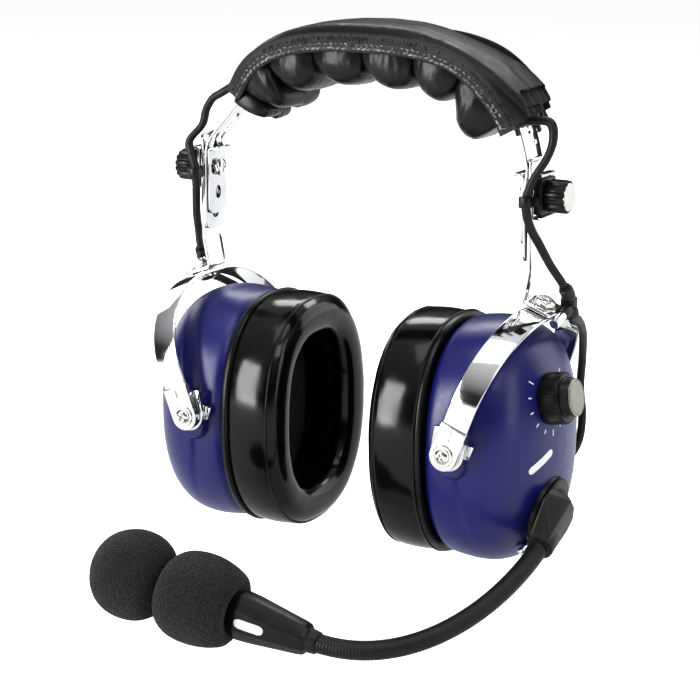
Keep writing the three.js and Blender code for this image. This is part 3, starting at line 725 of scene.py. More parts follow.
def cover_end(y, q):
    """Where the ragged open end stops: the front, rear and lower edges reach further."""
    front = ease((-y - 13.5) / 4.5) * (1 - ease((q - 8.5) / 4.5))
    low = 1 - ease((q - 1.2) / 2.2)
    rear = 0.45 * ease((y - 15) / 3) * (1 - ease((q - 7) / 3))
    rag = 0.55 * perlin(y * 0.42, q * 0.5, 4.0) + 0.35 * perlin(y * 1.3, q, 8.0)
    return 69.4 + 12.6 * max(front, low, rear) + rag


def cover_relief(x, y, z):
    r = 0.15 * fbm(x * 0.10, y * 0.10, z * 0.10)
    if abs(y) > 16:  # gathers above the seam
        r += 0.20 * perlin(x * 0.85, z * 0.85, 2.0) * min(1.0, (abs(y) - 16) / 3)
    # soft drag folds towards the open end
    folds = math.sin(y * 0.55 + 0.12 * x) * perlin(y * 0.08, x * 0.03, 6.0)
    return r + 0.28 * ease((x - 48) / 18) * folds


def build_cover():
    ends = np.array([cover_end(y, q) for y, q in cover_section(78.0)])
    # sections on a fine grid of stations; each point of a ring looks up its own station
    grid_s = np.linspace(COVER_START - 1, 84.5, 172)
    grid = np.array([cover_section(s) for s in grid_s])
    column = np.arange(COVER_COUNT)

    def ring(u, scale=1.0, back=0.0):
        stations = COVER_START + u * (ends - COVER_START) - back
        f = np.clip((stations - grid_s[0]) / (grid_s[1] - grid_s[0]), 0, len(grid_s) - 1.001)
        i = f.astype(int)
        f = (f - i)[:, None]
        points = grid[i, column] * (1 - f) + grid[i + 1, column] * f
        return [place(s, y * scale, 4.4 + (q - 4.4) * scale)
                for s, (y, q) in zip(stations, points)]
    # closing rings: scale of the section, distance back into the cover
    sewn = [(0.55, 7.0), (0.84, 6.0), (0.90, 1.2), (0.95, -0.1), (0.985, -0.35)]
    mouth = [(0.985, -0.35), (0.95, -0.1), (0.90, 0.8), (0.87, 5.0), (0.84, 13.0)]
    first = cover_section(COVER_START)
    rings = [[place(COVER_START + back, y * k, 4.0 + (q - 4.0) * k) for y, q in first]
             for k, back in sewn]
    rings += [ring(u) for u in np.linspace(0, 1, 210)]
    rings += [ring(1.0, k, back) for k, back in mouth]
    obj = add_object("band_cover", skin(rings, cap="fan"), "band_leather", 60)
    displace(obj, cover_relief)
    band_part(obj, "headband_cover")


def sleeve_layer(name, s0, s1, q0, q1, half, wave, seed, mat, thick, rise):
    """A wavy ragged layer inside the open end."""
    count, steps = 60, 16
    rings = []
    for i in range(steps):
        f = i / (steps - 1)
        upper, lower = [], []
        for j in range(count):
            y = -half + 2 * half * j / (count - 1)
            rag = 1.3 * perlin(y * 0.55, seed, 1.0) + 0.7 * perlin(y * 1.7, seed, 5.0)
            s = s0 + (s1 + rag - s0) * f
            fold = wave * f * (math.sin(y * 0.85 + seed) + 0.6 * perlin(y * 0.9, f * 2, seed))
            q = q0 + (q1 - q0) * f + fold + rise * f * abs(y / half) ** 3
            upper.append(place(s, y, q + thick / 2))
            lower.append(place(s, y, q - thick / 2))
        rings.append(upper + lower[::-1])
    band_part(add_object(name, skin(rings), mat, 50))


# name, from s, to s, from q, to q, half width, waviness, seed, material, thickness, edge rise
SLEEVE_LAYERS = [
    ("sleeve_lining", 60, 75.5, 6.4, 6.0, 14.0, 0.9, 2.0, "edge_binding", 0.55, 0.0),
    ("sleeve_fold", 62, 78.0, 4.4, 4.0, 12.5, 0.8, 7.0, "band_leather", 0.6, 1.0),
    ("sleeve_backing", 66, 81.5, 2.2, 1.9, 11.0, 0.35, 13.0, "edge_binding", 0.7, 0.0)]
# name, y, last s, q, width
SLEEVE_TAILS = [("a", -10.4, 85.4, 0.2, 2.2), ("b", 10.0, 86.5, 0.6, 2.6),
                ("c", 13.2, 83.6, 2.4, 2.0)]


def build_sleeve():
    for layer in SLEEVE_LAYERS:
        sleeve_layer(*layer)
    for tag, y, end, q, width in SLEEVE_TAILS:
        path = [place(s, y + 0.6 * perlin(s * 0.4, y, 0), q + 0.5 * perlin(s * 0.5, y, 3))
                for s in np.linspace(74, end, 12)]
        shape = strip(path, Y, width, 1.1, 0.4)
        band_part(add_object("sleeve_tail_" + tag, shape, "edge_binding", 50))


# ------------------------------------------------------------------ binding and stitches
def edge_y(s):
    return cover_half(s) - 0.3


def build_binding(tag, g, end):
    rings = []
    for s in np.linspace(COVER_START - 0.3, end, 220):
        w = 0.18 * perlin(s * 0.4, g * 3, 0)
        profile = [  # out from the cover edge, q
            (0.0, -3.6), (0.75, -3.3), (1.1, -1.6 + w), (0.75, -0.1), (1.0, 1.4 + w),
            (0.75, 2.8), (0.85, 3.6 + w), (0.4, 4.6), (-0.1, 4.8), (-0.5, 2.0), (-0.5, -2.2)]
        rings.append([place(s, g * (edge_y(s) + out), q)
                      for out, q in catmull(profile, closed=True, per=3)])
    band_part(add_object("binding_" + tag, skin(rings), "edge_binding", 50))


def build_stitches(tag, g, end, seed):
    rng = np.random.default_rng(seed)

    def stitch(store, s0, q0, s1, q1, r, out):
        """One thread from (s0, q0) to (s1, q1); none where the cover is too low."""
        top = cover_top(s0) - (4.2 if g < 0 else 5.4 + rear_dip(s0))
        if max(q0, q1) > max(top, 1.0):
            return
        a, b = place(s0, g * (edge_y(s0) + out), q0), place(s1, g * (edge_y(s1) + out), q1)
        mid = (a + b) / 2 + Y * g * 0.22
        sink, lift = Y * g * 0.4, Y * g * 0.05
        path = [a - sink, a * 0.8 + mid * 0.2 + lift, mid, b * 0.8 + mid * 0.2 + lift, b - sink]
        store.append(tube(path, [r * 0.8, r, r, r, r * 0.8], 6))

    # light seam stitches, some with a second and a third strand
    light = []
    s = COVER_START + 0.6
    while s < end - 3:
        j = rng.normal(0, 0.17, 8)
        stitch(light, s, -1.9 + j[0], s + 1.75 + j[4], -1.75 + j[1],
               r=0.42 + 0.3 * abs(j[5]), out=0.95)
        if rng.random() < 0.85:
            stitch(light, s + 1.2, 0.0 + j[2], s + 2.5 + j[6], 0.1 + j[3], r=0.30, out=0.74)
        if rng.random() < 0.5:
            stitch(light, s + 2.0, -1.6, s + 2.5, -0.1, r=0.24, out=0.80)
        s += 2.55 + rng.normal(0, 0.22)

    # dark gathers above them
    dark = []
    s = COVER_START + 0.8
    while s < end - 2.5:
        length = 1.7 + rng.normal(0, 0.45)
        stitch(dark, s, 1.3 + rng.normal(0, 0.3), s + rng.normal(0.15, 0.25), 1.3 + length,
               r=0.24 + abs(rng.normal(0, 0.05)), out=0.88)
        if rng.random() < 0.7:
            stitch(dark, s + 0.5, 3.2 + rng.normal(0, 0.25), s + 0.6 + rng.normal(0.2, 0.3),
                   4.7 + rng.normal(0, 0.4), r=0.20, out=0.70)
        s += 0.95 + abs(rng.normal(0, 0.14))
    band_part(add_object("stitching_" + tag, merge(*light), "thread_grey", 60, 0))
    band_part(add_object("gathering_" + tag, merge(*dark), "thread_dark", 60, 0))


def build_edges():
    for tag, g, end, seed in (("front", -1, 82.8, 11), ("rear", 1, 78.0, 12)):
        build_binding(tag, g, end)
        build_stitches(tag, g, end, seed)


# ------------------------------------------------------------------ head pad
# sewn grooves by side along X: distance from the crown
GROOVES = {1: [0.0, 24.5, 49.0, 77.5], -1: [0.0, 24.5, 49.0, 69.5, 77.5]}
# depth of the lobes between them
LOBE_DEPTHS = {1: (18.6, 19.2, 20.2), -1: (18.6, 19.8, 22.5, 18.5)}
# all grooves but the outer ends
CHANNELS = [0.0, 24.5, -24.5, 49.0, -49.0, -69.5]


def lobe(s):
    """0 in a groove, 1 on the crown of a lobe, and which lobe it is."""
    a, cuts = abs(s), GROOVES[1 if s >= 0 else -1]
    last = len(cuts) - 2
    for i in range(last + 1):
        if a <= cuts[i + 1] + 1e-6:
            f = (a - cuts[i]) / (cuts[i + 1] - cuts[i])
            if i == last:
                f *= 0.80 if i == 3 else 0.88
            return max(0.0, math.sin(math.pi * min(1, f))), i
    return 0.0, last


def pad_ring(s):
    level, i = lobe(s)
    swell = level ** (0.36 if i < 2 else 0.50)
    groove = 8.0 if i < 3 and s > -60 else 10.5
    h = groove + (LOBE_DEPTHS[1 if s >= 0 else -1][i] - groove) * swell
    b = cover_half(s) / COVER_HALF * (0.82 + 0.20 * level ** 0.36) * (1.0 if i < 3 else 0.94)
    k = 1.0  # closes the ends
    if abs(s) > 75.5:
        k = math.sqrt(max(0.04, 1 - ((abs(s) - 75.5) / 2.1) ** 2))
    h *= 0.62 + 0.38 * k
    b *= 0.86 + 0.14 * k
    half = [  # y, q down the front wall
        (-18.5 * b, -0.4), (-20.8 * b, -1.7), (-21.8 * b, -4.4), (-22.1 * b, -h * 0.52),
        (-21.0 * b, -h * 0.76), (-17.6 * b, -h * 0.93), (-11.5 * b, -h * 0.995), (-4, -h * 1.01)]
    points = half + [(-y, q) for y, q in half[::-1]] + [(7, -0.5), (-7, -0.5)]
    loop = resample(catmull(points, closed=True, per=8), 104, closed=True)
    # the sewn channels slant a little down the front wall
    return [place(s + (0.16 * max(0.0, -q - 1) if y < 0 else 0), y, q) for y, q in loop]


def pad_relief(x, y, z):
    """Puckers fan out from each sewn groove and from the binding."""
    d = 0.30 * fbm(x * 0.06, y * 0.05, z * 0.06 + 5, 2)
    s = 78.0
    if abs(x) < 78:
        s = float(np.interp(abs(x), arch[:, 0], arch_d)) * (1 if x > 0 else -1)
    near = min(abs(s - channel) for channel in CHANNELS)
    d += 0.34 * math.exp(-((near - 2.4) / 2.8) ** 2) * perlin(y * 0.6, near * 0.12, x * 0.05)
    if abs(y) > 17.5:
        d += 0.26 * perlin(x * 0.5, z * 0.22, 7) * min(1, (abs(y) - 17.5) / 2)
    return d


def build_pad():
    stations = []
    for g in (-1, 1):
        for i, (a, b) in enumerate(zip(GROOVES[g], GROOVES[g][1:])):
            u = np.linspace(0, 1, 40 if i < 3 else 20)
            if i < 3:  # crowded towards the grooves
                u = 0.5 - 0.5 * np.cos(np.pi * u)
            stations += list(g * (a + (b - a) * u))
    rings = [pad_ring(s) for s in np.unique(np.round(stations, 4))]
    obj = add_object("head_cushion", skin(rings, cap="fan"), "pad_vinyl", 75)
    displace(obj, pad_relief)
    band_part(obj, "head_pad")


# ------------------------------------------------------------------ cables, on the left side
def cable_in_band(*stations):
    return [place(s, -6, 3.9) for s in stations]


CABLE_RADIUS = 1.85
CABLE_DROP = cable_in_band(70, 75, 80) + [vec(*p) for p in (
    (82.4, -6.2, -14.5), (86.2, -7.4, -21.5), (86.6, -9, -29), (84.4, -10.6, -36),
    (82.4, -11.4, -42.6), (81.4, -11.4, -46.0))]
# the right drop, written as if on the left
CABLE_DROP_RIGHT = cable_in_band(62, 67) + [vec(*p) for p in (
    (78.0, -6.2, -11.5), (81.6, -6.6, -13.9), (83.4, -7.6, -18.9), (82.7, -9, -25.6),
    (86.8, -10.2, -33.5), (84.0, -11.0, -39.5), (82.2, -11.4, -43.4), (81.4, -11.4, -46.0))]
CABLE_ARM = vec(
    (81.4, -11.4, -45.6), (81.4, -11.4, -51), (82.6, -9.6, -58), (85.6, -5, -67),
    (88.2, 0.4, -76), (90.9, 5.6, -83.4), (92.3, 9.8, -89.4), (92.5, 10.9, -92.2))
CABLE_TAIL = vec(
    (92.7, 11.3, -91.8), (92.9, 13, -98.6), (91.6, 24, -103.6), (87.4, 39.6, -113),
    (82.4, 52.0, -128), (80.6, 55.0, -142), (82.8, 52.8, -155), (82.8, 49.2, -166),
    (79.6, 45.4, -173.4), (76.6, 41.0, -176.4))
# name, path, steps, upper body, lower body, CAD piece, points where the bend starts and ends
CABLES = [
    ("cable_drop", CABLE_DROP, 70, "headband", "arm", "bridge_cable", 3, 7),
    ("cable_arm", CABLE_ARM, 80, "arm", "yoke", "arm_cable", 1, 6),
    ("cable_tail", CABLE_TAIL, 110, "yoke", "cup", "cup_cable", 1, 8)]


def cable(name, points, steps):
    path = resample(catmull(points, per=20), steps)
    return add_object(name, tube(path, CABLE_RADIUS, 22), "cable_rubber", 45)


def build_cables():
    for name, points, steps, upper, lower, piece, start, end in CABLES:
        left = cable(name + "_left", points, steps)
        if name == "cable_drop":
            right = cable(name + "_right", [p * MIRROR for p in CABLE_DROP_RIGHT], steps)
        else:
            right = twin(left)
        for obj, side, g in ((left, "_left", 1), (right, "_right", -1)):
            sway(obj)
            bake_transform(obj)
            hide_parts(piece if piece == "bridge_cable" else piece + side)


# ------------------------------------------------------------------ clamp and arm
BLADE_X, KEEPER_X, SADDLE_X = 80.8, 77.5, 82.5
KNOB_BASE = CLAMP + X * 86.95
KNOB_FLUTES, KNOB_COUNT = 14, 168
BOLT_HEAD = CLAMP + X * 74.0


def build_blade():
    tip = vec(79.7, 0, -91.94) + 12.4 * YOKE_OUT
    path = densify(fillet([vec(BLADE_X, 0, -30), vec(BLADE_X, 0, -78.0),
                           vec(78.17, 0, -91.37), tip], [16, 1.9], 10), 3.0)
    path = np.vstack([between(path[0], path[1], 0, 0.25, 0.5), path[1:-1],
                      between(path[-1], path[-2], 0.5, 0.25, 0)])

    def width(d, length):
        if d < 2.4:
            return rounded_end(14, 10, 2.4, d)
        return rounded_end(14, 12.4, 1.4, length - d)
    obj = add_object("slide_blade_left", strip(path, Y, width, 1.6, 0.45), "chrome_yoke", 30)
    boolean(obj, [rod(CLAMP + X * 76, X, 2.6, 0, 9), rod(BOLT - 4 * YOKE_UP, YOKE_UP, 2.6, 0, 8)],
            edge=0.12, segments=1)
    pair(obj, "arm", "chrome", "slider_arm")


def build_keeper():
    path = densify(fillet([vec(73.4, 0, -37.1), vec(KEEPER_X, 0, -37.1), vec(KEEPER_X, 0, -67)],
                          [1.3], 8), 3.0)
    path = np.vstack([path[:-1], between(path[-1], path[-2], 0.6, 0.3, 0.1, 0)])

    def width(d, length):
        return rounded_end(14.0, 7, 3, length - d)
    obj = add_object("keeper_plate_left", strip(path, Y, width, 1.2, 0.38), "chrome", 30)
    hole = prism(ellipse(2.2, 3.0, 32), 74.5, 80, (0, 0, -57.4), Y, Z, X)
    boolean(obj, [rod(CLAMP + X * 75, X, 2.5, 0, 5), hole], edge=0.12, segments=1)
    pair(obj, "arm", "chrome", "slider_keeper")


def build_saddle():
    corners = [CLAMP + vec(x, 0, z)
               for x, z in ((86.6, 9), (SADDLE_X, 9), (SADDLE_X, -9), (86.6, -9))]
    path = densify(fillet(corners, [1.1, 1.1], 7), 4)
    obj = add_object("clamp_saddle_left", strip(path, Y, 15, 1.1, 0.36), "chrome", 30)
    boolean(obj, [rod(CLAMP + X * 80, X, 2.5, 0, 5)], edge=0.1, segments=1)
    pair(obj, "arm", "chrome", "clamp_cradle")

    block = prism(rounded_rect(15.0, 15.2, 1.2, 4), 83.4, 86.55, CLAMP, Y, Z, X)
    obj = bevel(add_object("clamp_pad_left", block, "black_plastic", 30), 0.45, 3)
    pair(obj, "arm", "black", "clamp_block")


def build_cable_hook():
    block = prism(rounded_rect(5.5, 7.0, 2.3, 8), -49.6, -45.2, (81.55, -11.7, 0), X, Y, Z)
    tongue = prism(rounded_rect(4.6, 3.2, 0.6, 3), -49.2, -45.6, (84.0, -8.4, 0), X, Y, Z)
    obj = add_object("cable_hook_left", block, "black_plastic", 30)
    boolean(obj, [tongue], "UNION")
    boolean(obj, [rod((81.4, -11.4, -55), Z, CABLE_RADIUS + 0.1, 0, 16)], edge=0.28)
    pair(obj, "arm", "black")


def build_clamp_bolt():
    profile = [(0.0, 0.0), (2.0, 0.02), (3.3, 0.35), (3.85, 0.9), (3.9, 1.7), (2.1, 1.75),
               (2.1, 16.2)]
    obj = add_object("clamp_bolt_left", lathe(profile, BOLT_HEAD, X, 40), "steel_nut", 35)
    cross_recess(obj, 4.6, 0.9, -1, 0.75, BOLT_HEAD, Y, Z, X)
    pair(obj, "arm", "steel", "clamp_screw")


def build_knob():
    def fluted(i, r):
        if r < 5.9:
            return r
        turn = (i / KNOB_COUNT) * KNOB_FLUTES
        f = abs((turn % 1.0) - 0.5) * 2
        return r - 0.85 * (1 - min(1.0, f / 0.62) ** 2) * (1.0 if r > 6.3 else 0.6)
    grip = [(3.2, 0.0), (5.7, 0.02), (6.6, 0.5), (7.1, 1.1), (7.15, 4.5), (7.1, 8.0),
            (6.85, 8.7), (6.35, 9.1), (5.85, 9.12)]
    shape = lathe(grip, KNOB_BASE, X, KNOB_COUNT, fluted)
    pair(add_object("knob_grip_left", shape, "black_plastic", 40),
         "clamp_knob", "black", "clamp_knob")
    face = [(6.0, 8.6), (6.0, 9.05), (5.8, 9.28), (5.2, 9.34), (3.0, 9.34), (0.6, 9.36),
            (0.0, 9.36)]
    shape = lathe(face, KNOB_BASE, X, 96)
    pair(add_object("knob_face_left", shape, "knob_face_left", 40), "clamp_knob", "steel")


# ------------------------------------------------------------------ yoke
FOOT_Y, FOOT_TOP = 48.5, 44.4     # inner face along Y, top edge down the yoke
# turned pieces on the swivel bolt: name, points round, profile (radius, height)
SWIVEL_PARTS = [
    ("washer_left", 48, [(2.4, 0.78), (5.35, 0.78), (5.5, 0.9), (5.5, 1.15), (5.35, 1.27),
                         (2.4, 1.27)]),
    ("swivel_stud_left", 32, [(2.2, -4.0), (2.2, 4.7), (1.9, 5.15), (0.0, 5.2)]),
    ("swivel_head_left", 48, [(0.0, -5.75), (2.4, -5.6), (3.9, -5.0), (4.75, -4.0),
                              (4.85, -3.3), (2.0, -3.2)])]


def build_yoke_strap():
    half = [(6 + 44 * math.sin(a), 36 * (1 - math.cos(a)))
            for a in ((math.pi / 2) * i / 40 for i in range(41))]
    half.append((50, 52.0))
    path = [on_yoke(-y, s) for y, s in half[::-1]] + [on_yoke(-3, 0), on_yoke(3, 0)]
    path += [on_yoke(y, s) for y, s in half]
    shape = strip(path, YOKE_OUT, 11.6, 1.6, 0.5, steps=4)
    obj = add_object("yoke_strap_left", shape, "chrome_yoke", 30)
    boolean(obj, [rod(BOLT - 6 * YOKE_UP, YOKE_UP, 2.7, 0, 8)], edge=0.12, segments=1)
    pair(obj, "yoke", "chrome", "yoke")


def build_swivel():
    obj = add_object("hex_nut_left", lathe([(4.75, 1.25), (4.75, 4.35)], BOLT, YOKE_UP, 6),
                     "steel_nut", 20)
    chamfer = [(3.9, 1.25), (4.7, 1.6), (4.75, 2.6), (4.5, 3.7), (3.5, 4.35)]
    boolean(obj, [lathe(chamfer, BOLT, YOKE_UP, 64)], "INTERSECT", edge=0.12)
    pair(obj, "arm", "steel", "yoke_bolt")
    for name, count, profile in SWIVEL_PARTS:
        shape = lathe(profile, BOLT, YOKE_UP, count)
        pair(add_object(name, shape, "steel_nut", 30), "arm", "steel")


def at_pivot(g, y):
    """The pivot axis of the front or rear end at distance y from the middle."""
    return vec(PIVOT[0], g * y, PIVOT[2])


def build_foot(tag, g):
    """End plate crimped over the strap: flat face, rounded foot."""
    w = 6.2
    outline = [(-w, -FOOT_TOP), (w, -FOOT_TOP)] + arc((0, -(PIVOT_DROP + 0.4)), w, 0, -180, 20)
    if g > 0:
        outline = outline[::-1]
    origin, out = YOKE_TOP + Y * g * FOOT_Y, Y * g
    shape = prism(outline, 0, 3.2, origin, YOKE_OUT, YOKE_UP, out)
    obj = add_object(f"yoke_foot_{tag}_left", shape, "chrome_yoke", 30)
    # the short slit under the crimp line
    slit = prism(rounded_rect(0.55, 5.0, 0.2, 2), 2.5, 5, origin - YOKE_UP * (FOOT_TOP + 3.2),
                 YOKE_OUT, YOKE_UP, out)
    boolean(obj, [rod(at_pivot(g, 40), out, 2.2, 0, 20), slit], edge=0.42, segments=3)
    pair(obj, "yoke", "chrome", "yoke_end_" + tag)

    # crimp collar where the strap enters: distance from the foot's top, swell
    rings = []
    for drop, swell in ((-0.55, 0.15), (-0.35, 0.42), (0.35, 0.42), (0.6, 0.1)):
        centre = on_yoke(g * 50.1, FOOT_TOP + drop)
        rings.append([centre + YOKE_OUT * u + Y * v
                      for u, v in rounded_rect(12.0 + swell, 2.5 + swell, 0.6, 3)])
    pair(add_object(f"crimp_{tag}_left", skin(rings), "steel_nut", 40), "yoke", "chrome")


def build_pivot_screw(tag, g):
    base, out = at_pivot(g, FOOT_Y + 3.2), Y * g
    washer = [(2.0, 0.0), (4.45, 0.0), (4.6, 0.12), (4.6, 0.42), (4.4, 0.56), (3.4, 0.6),
              (2.0, 0.6)]
    shape = lathe(washer, base, out, 48)
    pair(add_object(f"pivot_washer_{tag}_left", shape, "steel_nut", 30), "cup", "steel")
    head = [(3.2, 0.5), (3.35, 0.7), (3.3, 1.15), (2.8, 1.75), (1.8, 2.15), (0.0, 2.3)]
    obj = add_object(f"pivot_head_{tag}_left", lathe(head, base, out, 48), "steel_nut", 30)
    cross_recess(obj, 3.6, 0.8, 1.3, 4, base, *leaned(-24), out)
    pair(obj, "cup", "steel", "pivot_screw_" + tag)
    shape = rod(base, -out, 1.75, -0.5, 7.5)
    pair(add_object(f"pivot_shank_{tag}_left", shape, "steel_nut", 30), "cup", "steel")


def build_clevis(tag, g):
    """Bright plate on the cup inside the foot, with a skirt and a small side tab."""
    w = 7.5
    outline = [(-w + 0.5, 10.4), (-w, 9.6)] + arc((0, 0), w, 180, 360, 24)
    outline += [(w, 9.6), (w - 0.5, 10.4)]
    out = Y * g
    axes = (at_pivot(g, 46.4), *leaned(9), out)
    plate = prism(outline if g > 0 else outline[::-1], 0, 1.55, *axes)
    obj = add_object(f"clevis_{tag}_left", plate, "chrome", 30)
    skirt = add_object("tool", prism(outline, -4.2, 0.4, *axes))
    boolean(skirt, [prism([(u * 0.86, v * 0.86) for u, v in outline], -5, -0.02, *axes)])
    boolean(obj, [skirt], "UNION")
    boolean(obj, [rod(at_pivot(g, 40), out, 1.9, 0, 20)], edge=0.3)
    pair(obj, "cup", "chrome", "pivot_bracket_" + tag)

    # the tab points to the wearer's left on both cups
    tab = [(-0.8, -3.4), (2.6, -2.9), (4.6, 1.6), (4.9, 3.0), (-0.8, 3.2)]
    along = unit(vec(1, g * 0.35, 0))
    for side, flip in (("left", X + Y + Z), ("right", MIRROR)):
        root = at_pivot(g, 46.3) * flip + vec(7.4, 0, 1.5)
        shape = prism(tab, -0.5, 0.5, root, along, Z, np.cross(along, Z))
        obj = bevel(add_object(f"clevis_tab_{tag}_{side}", shape, "chrome", 30), 0.22)
        ride(obj, "cup_" + side, "chrome")


def build_boss(tag, g):
    """Boss of the shell that carries the clevis."""
    w = 6.7
    outline = [(-w - 1.2, 9.2), (-w, 5)] + arc((0, -5.3), w, 180, 360, 20)
    outline += [(w, 5), (w + 1.2, 9.2)]
    rings = []
    for h, k in ((0, 1.16), (3.6, 1.06), (4.6, 1.0), (6.1, 0.97), (6.6, 0.92)):  # height, scale
        centre = at_pivot(g, 39.5 + h)
        rings.append([centre + X * (u * k) + Z * (v * k) for u, v in outline])
    pair(add_object(f"shell_boss_{tag}_left", skin(rings), "shell_blue", 40), "cup", "shell")


def build_yoke_ends():
    for tag, g in ENDS:
        build_foot(tag, g)
        build_pivot_screw(tag, g)
        build_clevis(tag, g)
        build_boss(tag, g)


# ------------------------------------------------------------------ cable guide
def build_guide():
    """Clips that lead the cable past the bolt, and the bright sleeve beside them."""
    arm = resample(catmull(CABLE_ARM, per=20), 160)
    tail = resample(catmull(CABLE_TAIL, per=20), 220)
    for name, path, radius, mat, nodes in (
            ("guide_collar_upper_left", arm[140:158], 3.1, "satin_moulding", ["cable_guide"]),
            ("guide_collar_lower_left", tail[8:17], 3.2, "satin_moulding", []),
            ("guide_gland_left", arm[137:141], 2.75, "black_plastic", [])):
        n = len(path)
        radii = [radius * (0.82 + 0.18 * min(1.0, min(i, n - 1 - i) / 2.0)) for i in range(n)]
        pair(add_object(name, tube(path, radii, 28), mat, 40), "yoke", "black", *nodes)

    shape = prism(rounded_rect(6.4, 6.0, 1.6, 5), -96.6, -91.2, (91.6, 12.9, 0), X, Y, Z)
    obj = bevel(add_object("guide_body_left", shape, "satin_moulding", 30), 0.8, 3)
    pair(obj, "yoke", "black")
    shape = prism(rounded_rect(5.6, 5.0, 1.2, 4), 0.0, 2.4,
                  on_yoke(10.5, -0.9) + YOKE_OUT * 3.2, YOKE_OUT, Y, -YOKE_UP)
    obj = bevel(add_object("guide_foot_left", shape, "black_plastic", 30), 0.4)
    pair(obj, "yoke", "black")

    a, b = vec(91.7, -3.4, -100.2), vec(92.6, 4.6, -97.4)
    axis, length = unit(b - a), np.linalg.norm(b - a)
    profile = [(1.5, 0.1), (2.05, 0.0), (2.3, 0.3), (2.3, length - 0.4), (2.1, length),
               (0.5, length)]
    pair(add_object("ferrule_left", lathe(profile, a, axis, 40), "ferrule", 35), "yoke", "steel")
    path = catmull([b - axis * 0.6, b + axis * 1.8, vec(92.8, 9.0, -96.4)], per=8)
    shape = tube(resample(path, 12), 2.5, 24)
    pair(add_object("ferrule_clip_left", shape, "satin_moulding", 40), "yoke", "black")


# ------------------------------------------------------------------ ear cup shell
# stations from the rim out to the pole: x, half y, half z
SHELL = [(50.6, 41.0, 50.0), (51.6, 41.7, 50.8), (53, 42.5, 51.9), (59, 43.2, 53.0),
         (66, 43.5, 53.5), (73, 42.8, 52.8), (79, 40.6, 50.6), (84, 37.1, 47.1),
         (88, 32.4, 42.2), (91.3, 26, 35.4), (93.6, 18.6, 27), (95, 10.4, 16.6),
         (95.6, 4.6, 7.6)]
SHELL_COUNT = 176
LIP_Y, LIP_Z = 44.4, 53.0     # half sizes of the lip


def crease(x, y, z):
    """The crease that runs from each boss up and down over the shoulder of the shell."""
    if x < 52.5:
        return 0.0
    dz = z - PIVOT[2]
    if dz > 0:
        a, depth, reach = abs(dz), 1.75, 47.0
        centre = 64.5 + 15.5 * min(1.0, (a / 46.0)) ** 1.5
    else:
        a, depth, reach = abs(dz + (2.0 if dz < 0 else 0)), 1.0, 44.0
        centre = 63.5 + 7 * min(1.0, a / 50.0) ** 1.6
    fade = max(0.0, 1 - (a / reach) ** 2)
    edge = min(1.0, max(0.0, (abs(y) - 8) / 14))
    u = x - centre
    return -depth * fade * math.exp(-(u / (1.6 if u > 0 else 5.5)) ** 2) * edge


def build_shell():
    _, rim_y, rim_z = SHELL[0]
    # rim turned in: x, inset
    rings = [even_oval(x, rim_y - inset, rim_z - inset, SHELL_COUNT)
             for x, inset in ((58, 2.6), (51.2, 2.3), (50.5, 1.2))]
    rings += [even_oval(*row, SHELL_COUNT) for row in resample(catmull(SHELL, per=12), 84)]
    last, pole = rings[-1], vec(95.72, 0, CUP_Z)
    for k in (0.66, 0.33):
        rings.append(pole + (last - pole) * vec(1, k, k) + X * 0.08 * (1 - k))
    obj = add_object("shell_left", skin(rings, cap="fan"), "shell_blue", 50)
    displace(obj, crease)
    pair(obj, "cup", "shell", "cup_shell")


def lip_ring(name, profile):
    """A closed ring round the cup; profile is (x, half y, half z)."""
    rings = [even_oval(*row, SHELL_COUNT) for row in profile]
    return add_object(name, skin(rings, closed=True), "lip_rubber", 40)


def about_lip(rows):
    """Rows of x and growth over the lip's size."""
    return [(x, LIP_Y + grow, LIP_Z + grow) for x, grow in rows]


def build_lip():
    # flange with the recess behind it
    profile = [(46.6, 31, 40)] + about_lip([
        (46.55, -1.6), (46.8, -0.5), (47.3, 0), (48.3, 0.05), (49.1, -0.25), (49.4, -1.0)])
    profile += [(49.4, 39.5, 48.5), (50.2, 38.6, 47.6), (56.4, 38.4, 47.4), (56.4, 36.2, 45.2),
                (49.6, 36.2, 45.2), (49.2, 31, 40)]
    pair(lip_ring("seal_carrier_left", profile), "cup", "black", "seal_plate")
    # bead of the seal's skirt rolled over the lip
    profile = about_lip([(45.9, -1.6), (45.6, -0.4), (45.9, 0.35), (46.5, 0.55),
                         (46.85, 0.1), (46.7, -1.2)])
    pair(lip_ring("seal_bead_left", profile), "cup", "vinyl")


# ------------------------------------------------------------------ ear seal
SEAL_COUNT = 232
# cushion section: 0 at the inner oval to 1 at the outer, x
SEAL_PROFILE = [
    (0.10, 45.8), (0.0, 42), (-0.025, 36), (-0.01, 30), (0.03, 26.4), (0.11, 23.7),
    (0.24, 22.3), (0.42, 21.75), (0.60, 21.85), (0.75, 22.6), (0.865, 24.0), (0.93, 25.7),
    (0.955, 26.6), (0.985, 27.1), (1.0, 28.4), (1.02, 31.5), (1.03, 35.5), (1.025, 40),
    (1.0, 44), (0.97, 45.9), (0.5, 46.2)]
PROFILE_SCALE = 20.0     # stretches the section to mm while its curve is drawn
FOAM_Y, FOAM_Z = 34.6, 43.6


def by_angle(path):
    """An oval sampled at even angles, so that two ovals pair up radially."""
    angles = np.linspace(0, 2 * np.pi, SEAL_COUNT, endpoint=False)
    a = np.unwrap(np.arctan2(path[:, 2] - CUP_Z, path[:, 1]))
    a = np.r_[a - 2 * np.pi, a, a + 2 * np.pi]
    path = np.r_[path, path, path]
    order = np.argsort(a)
    return np.stack([np.interp(angles, a[order], path[order, k]) for k in range(3)], 1)


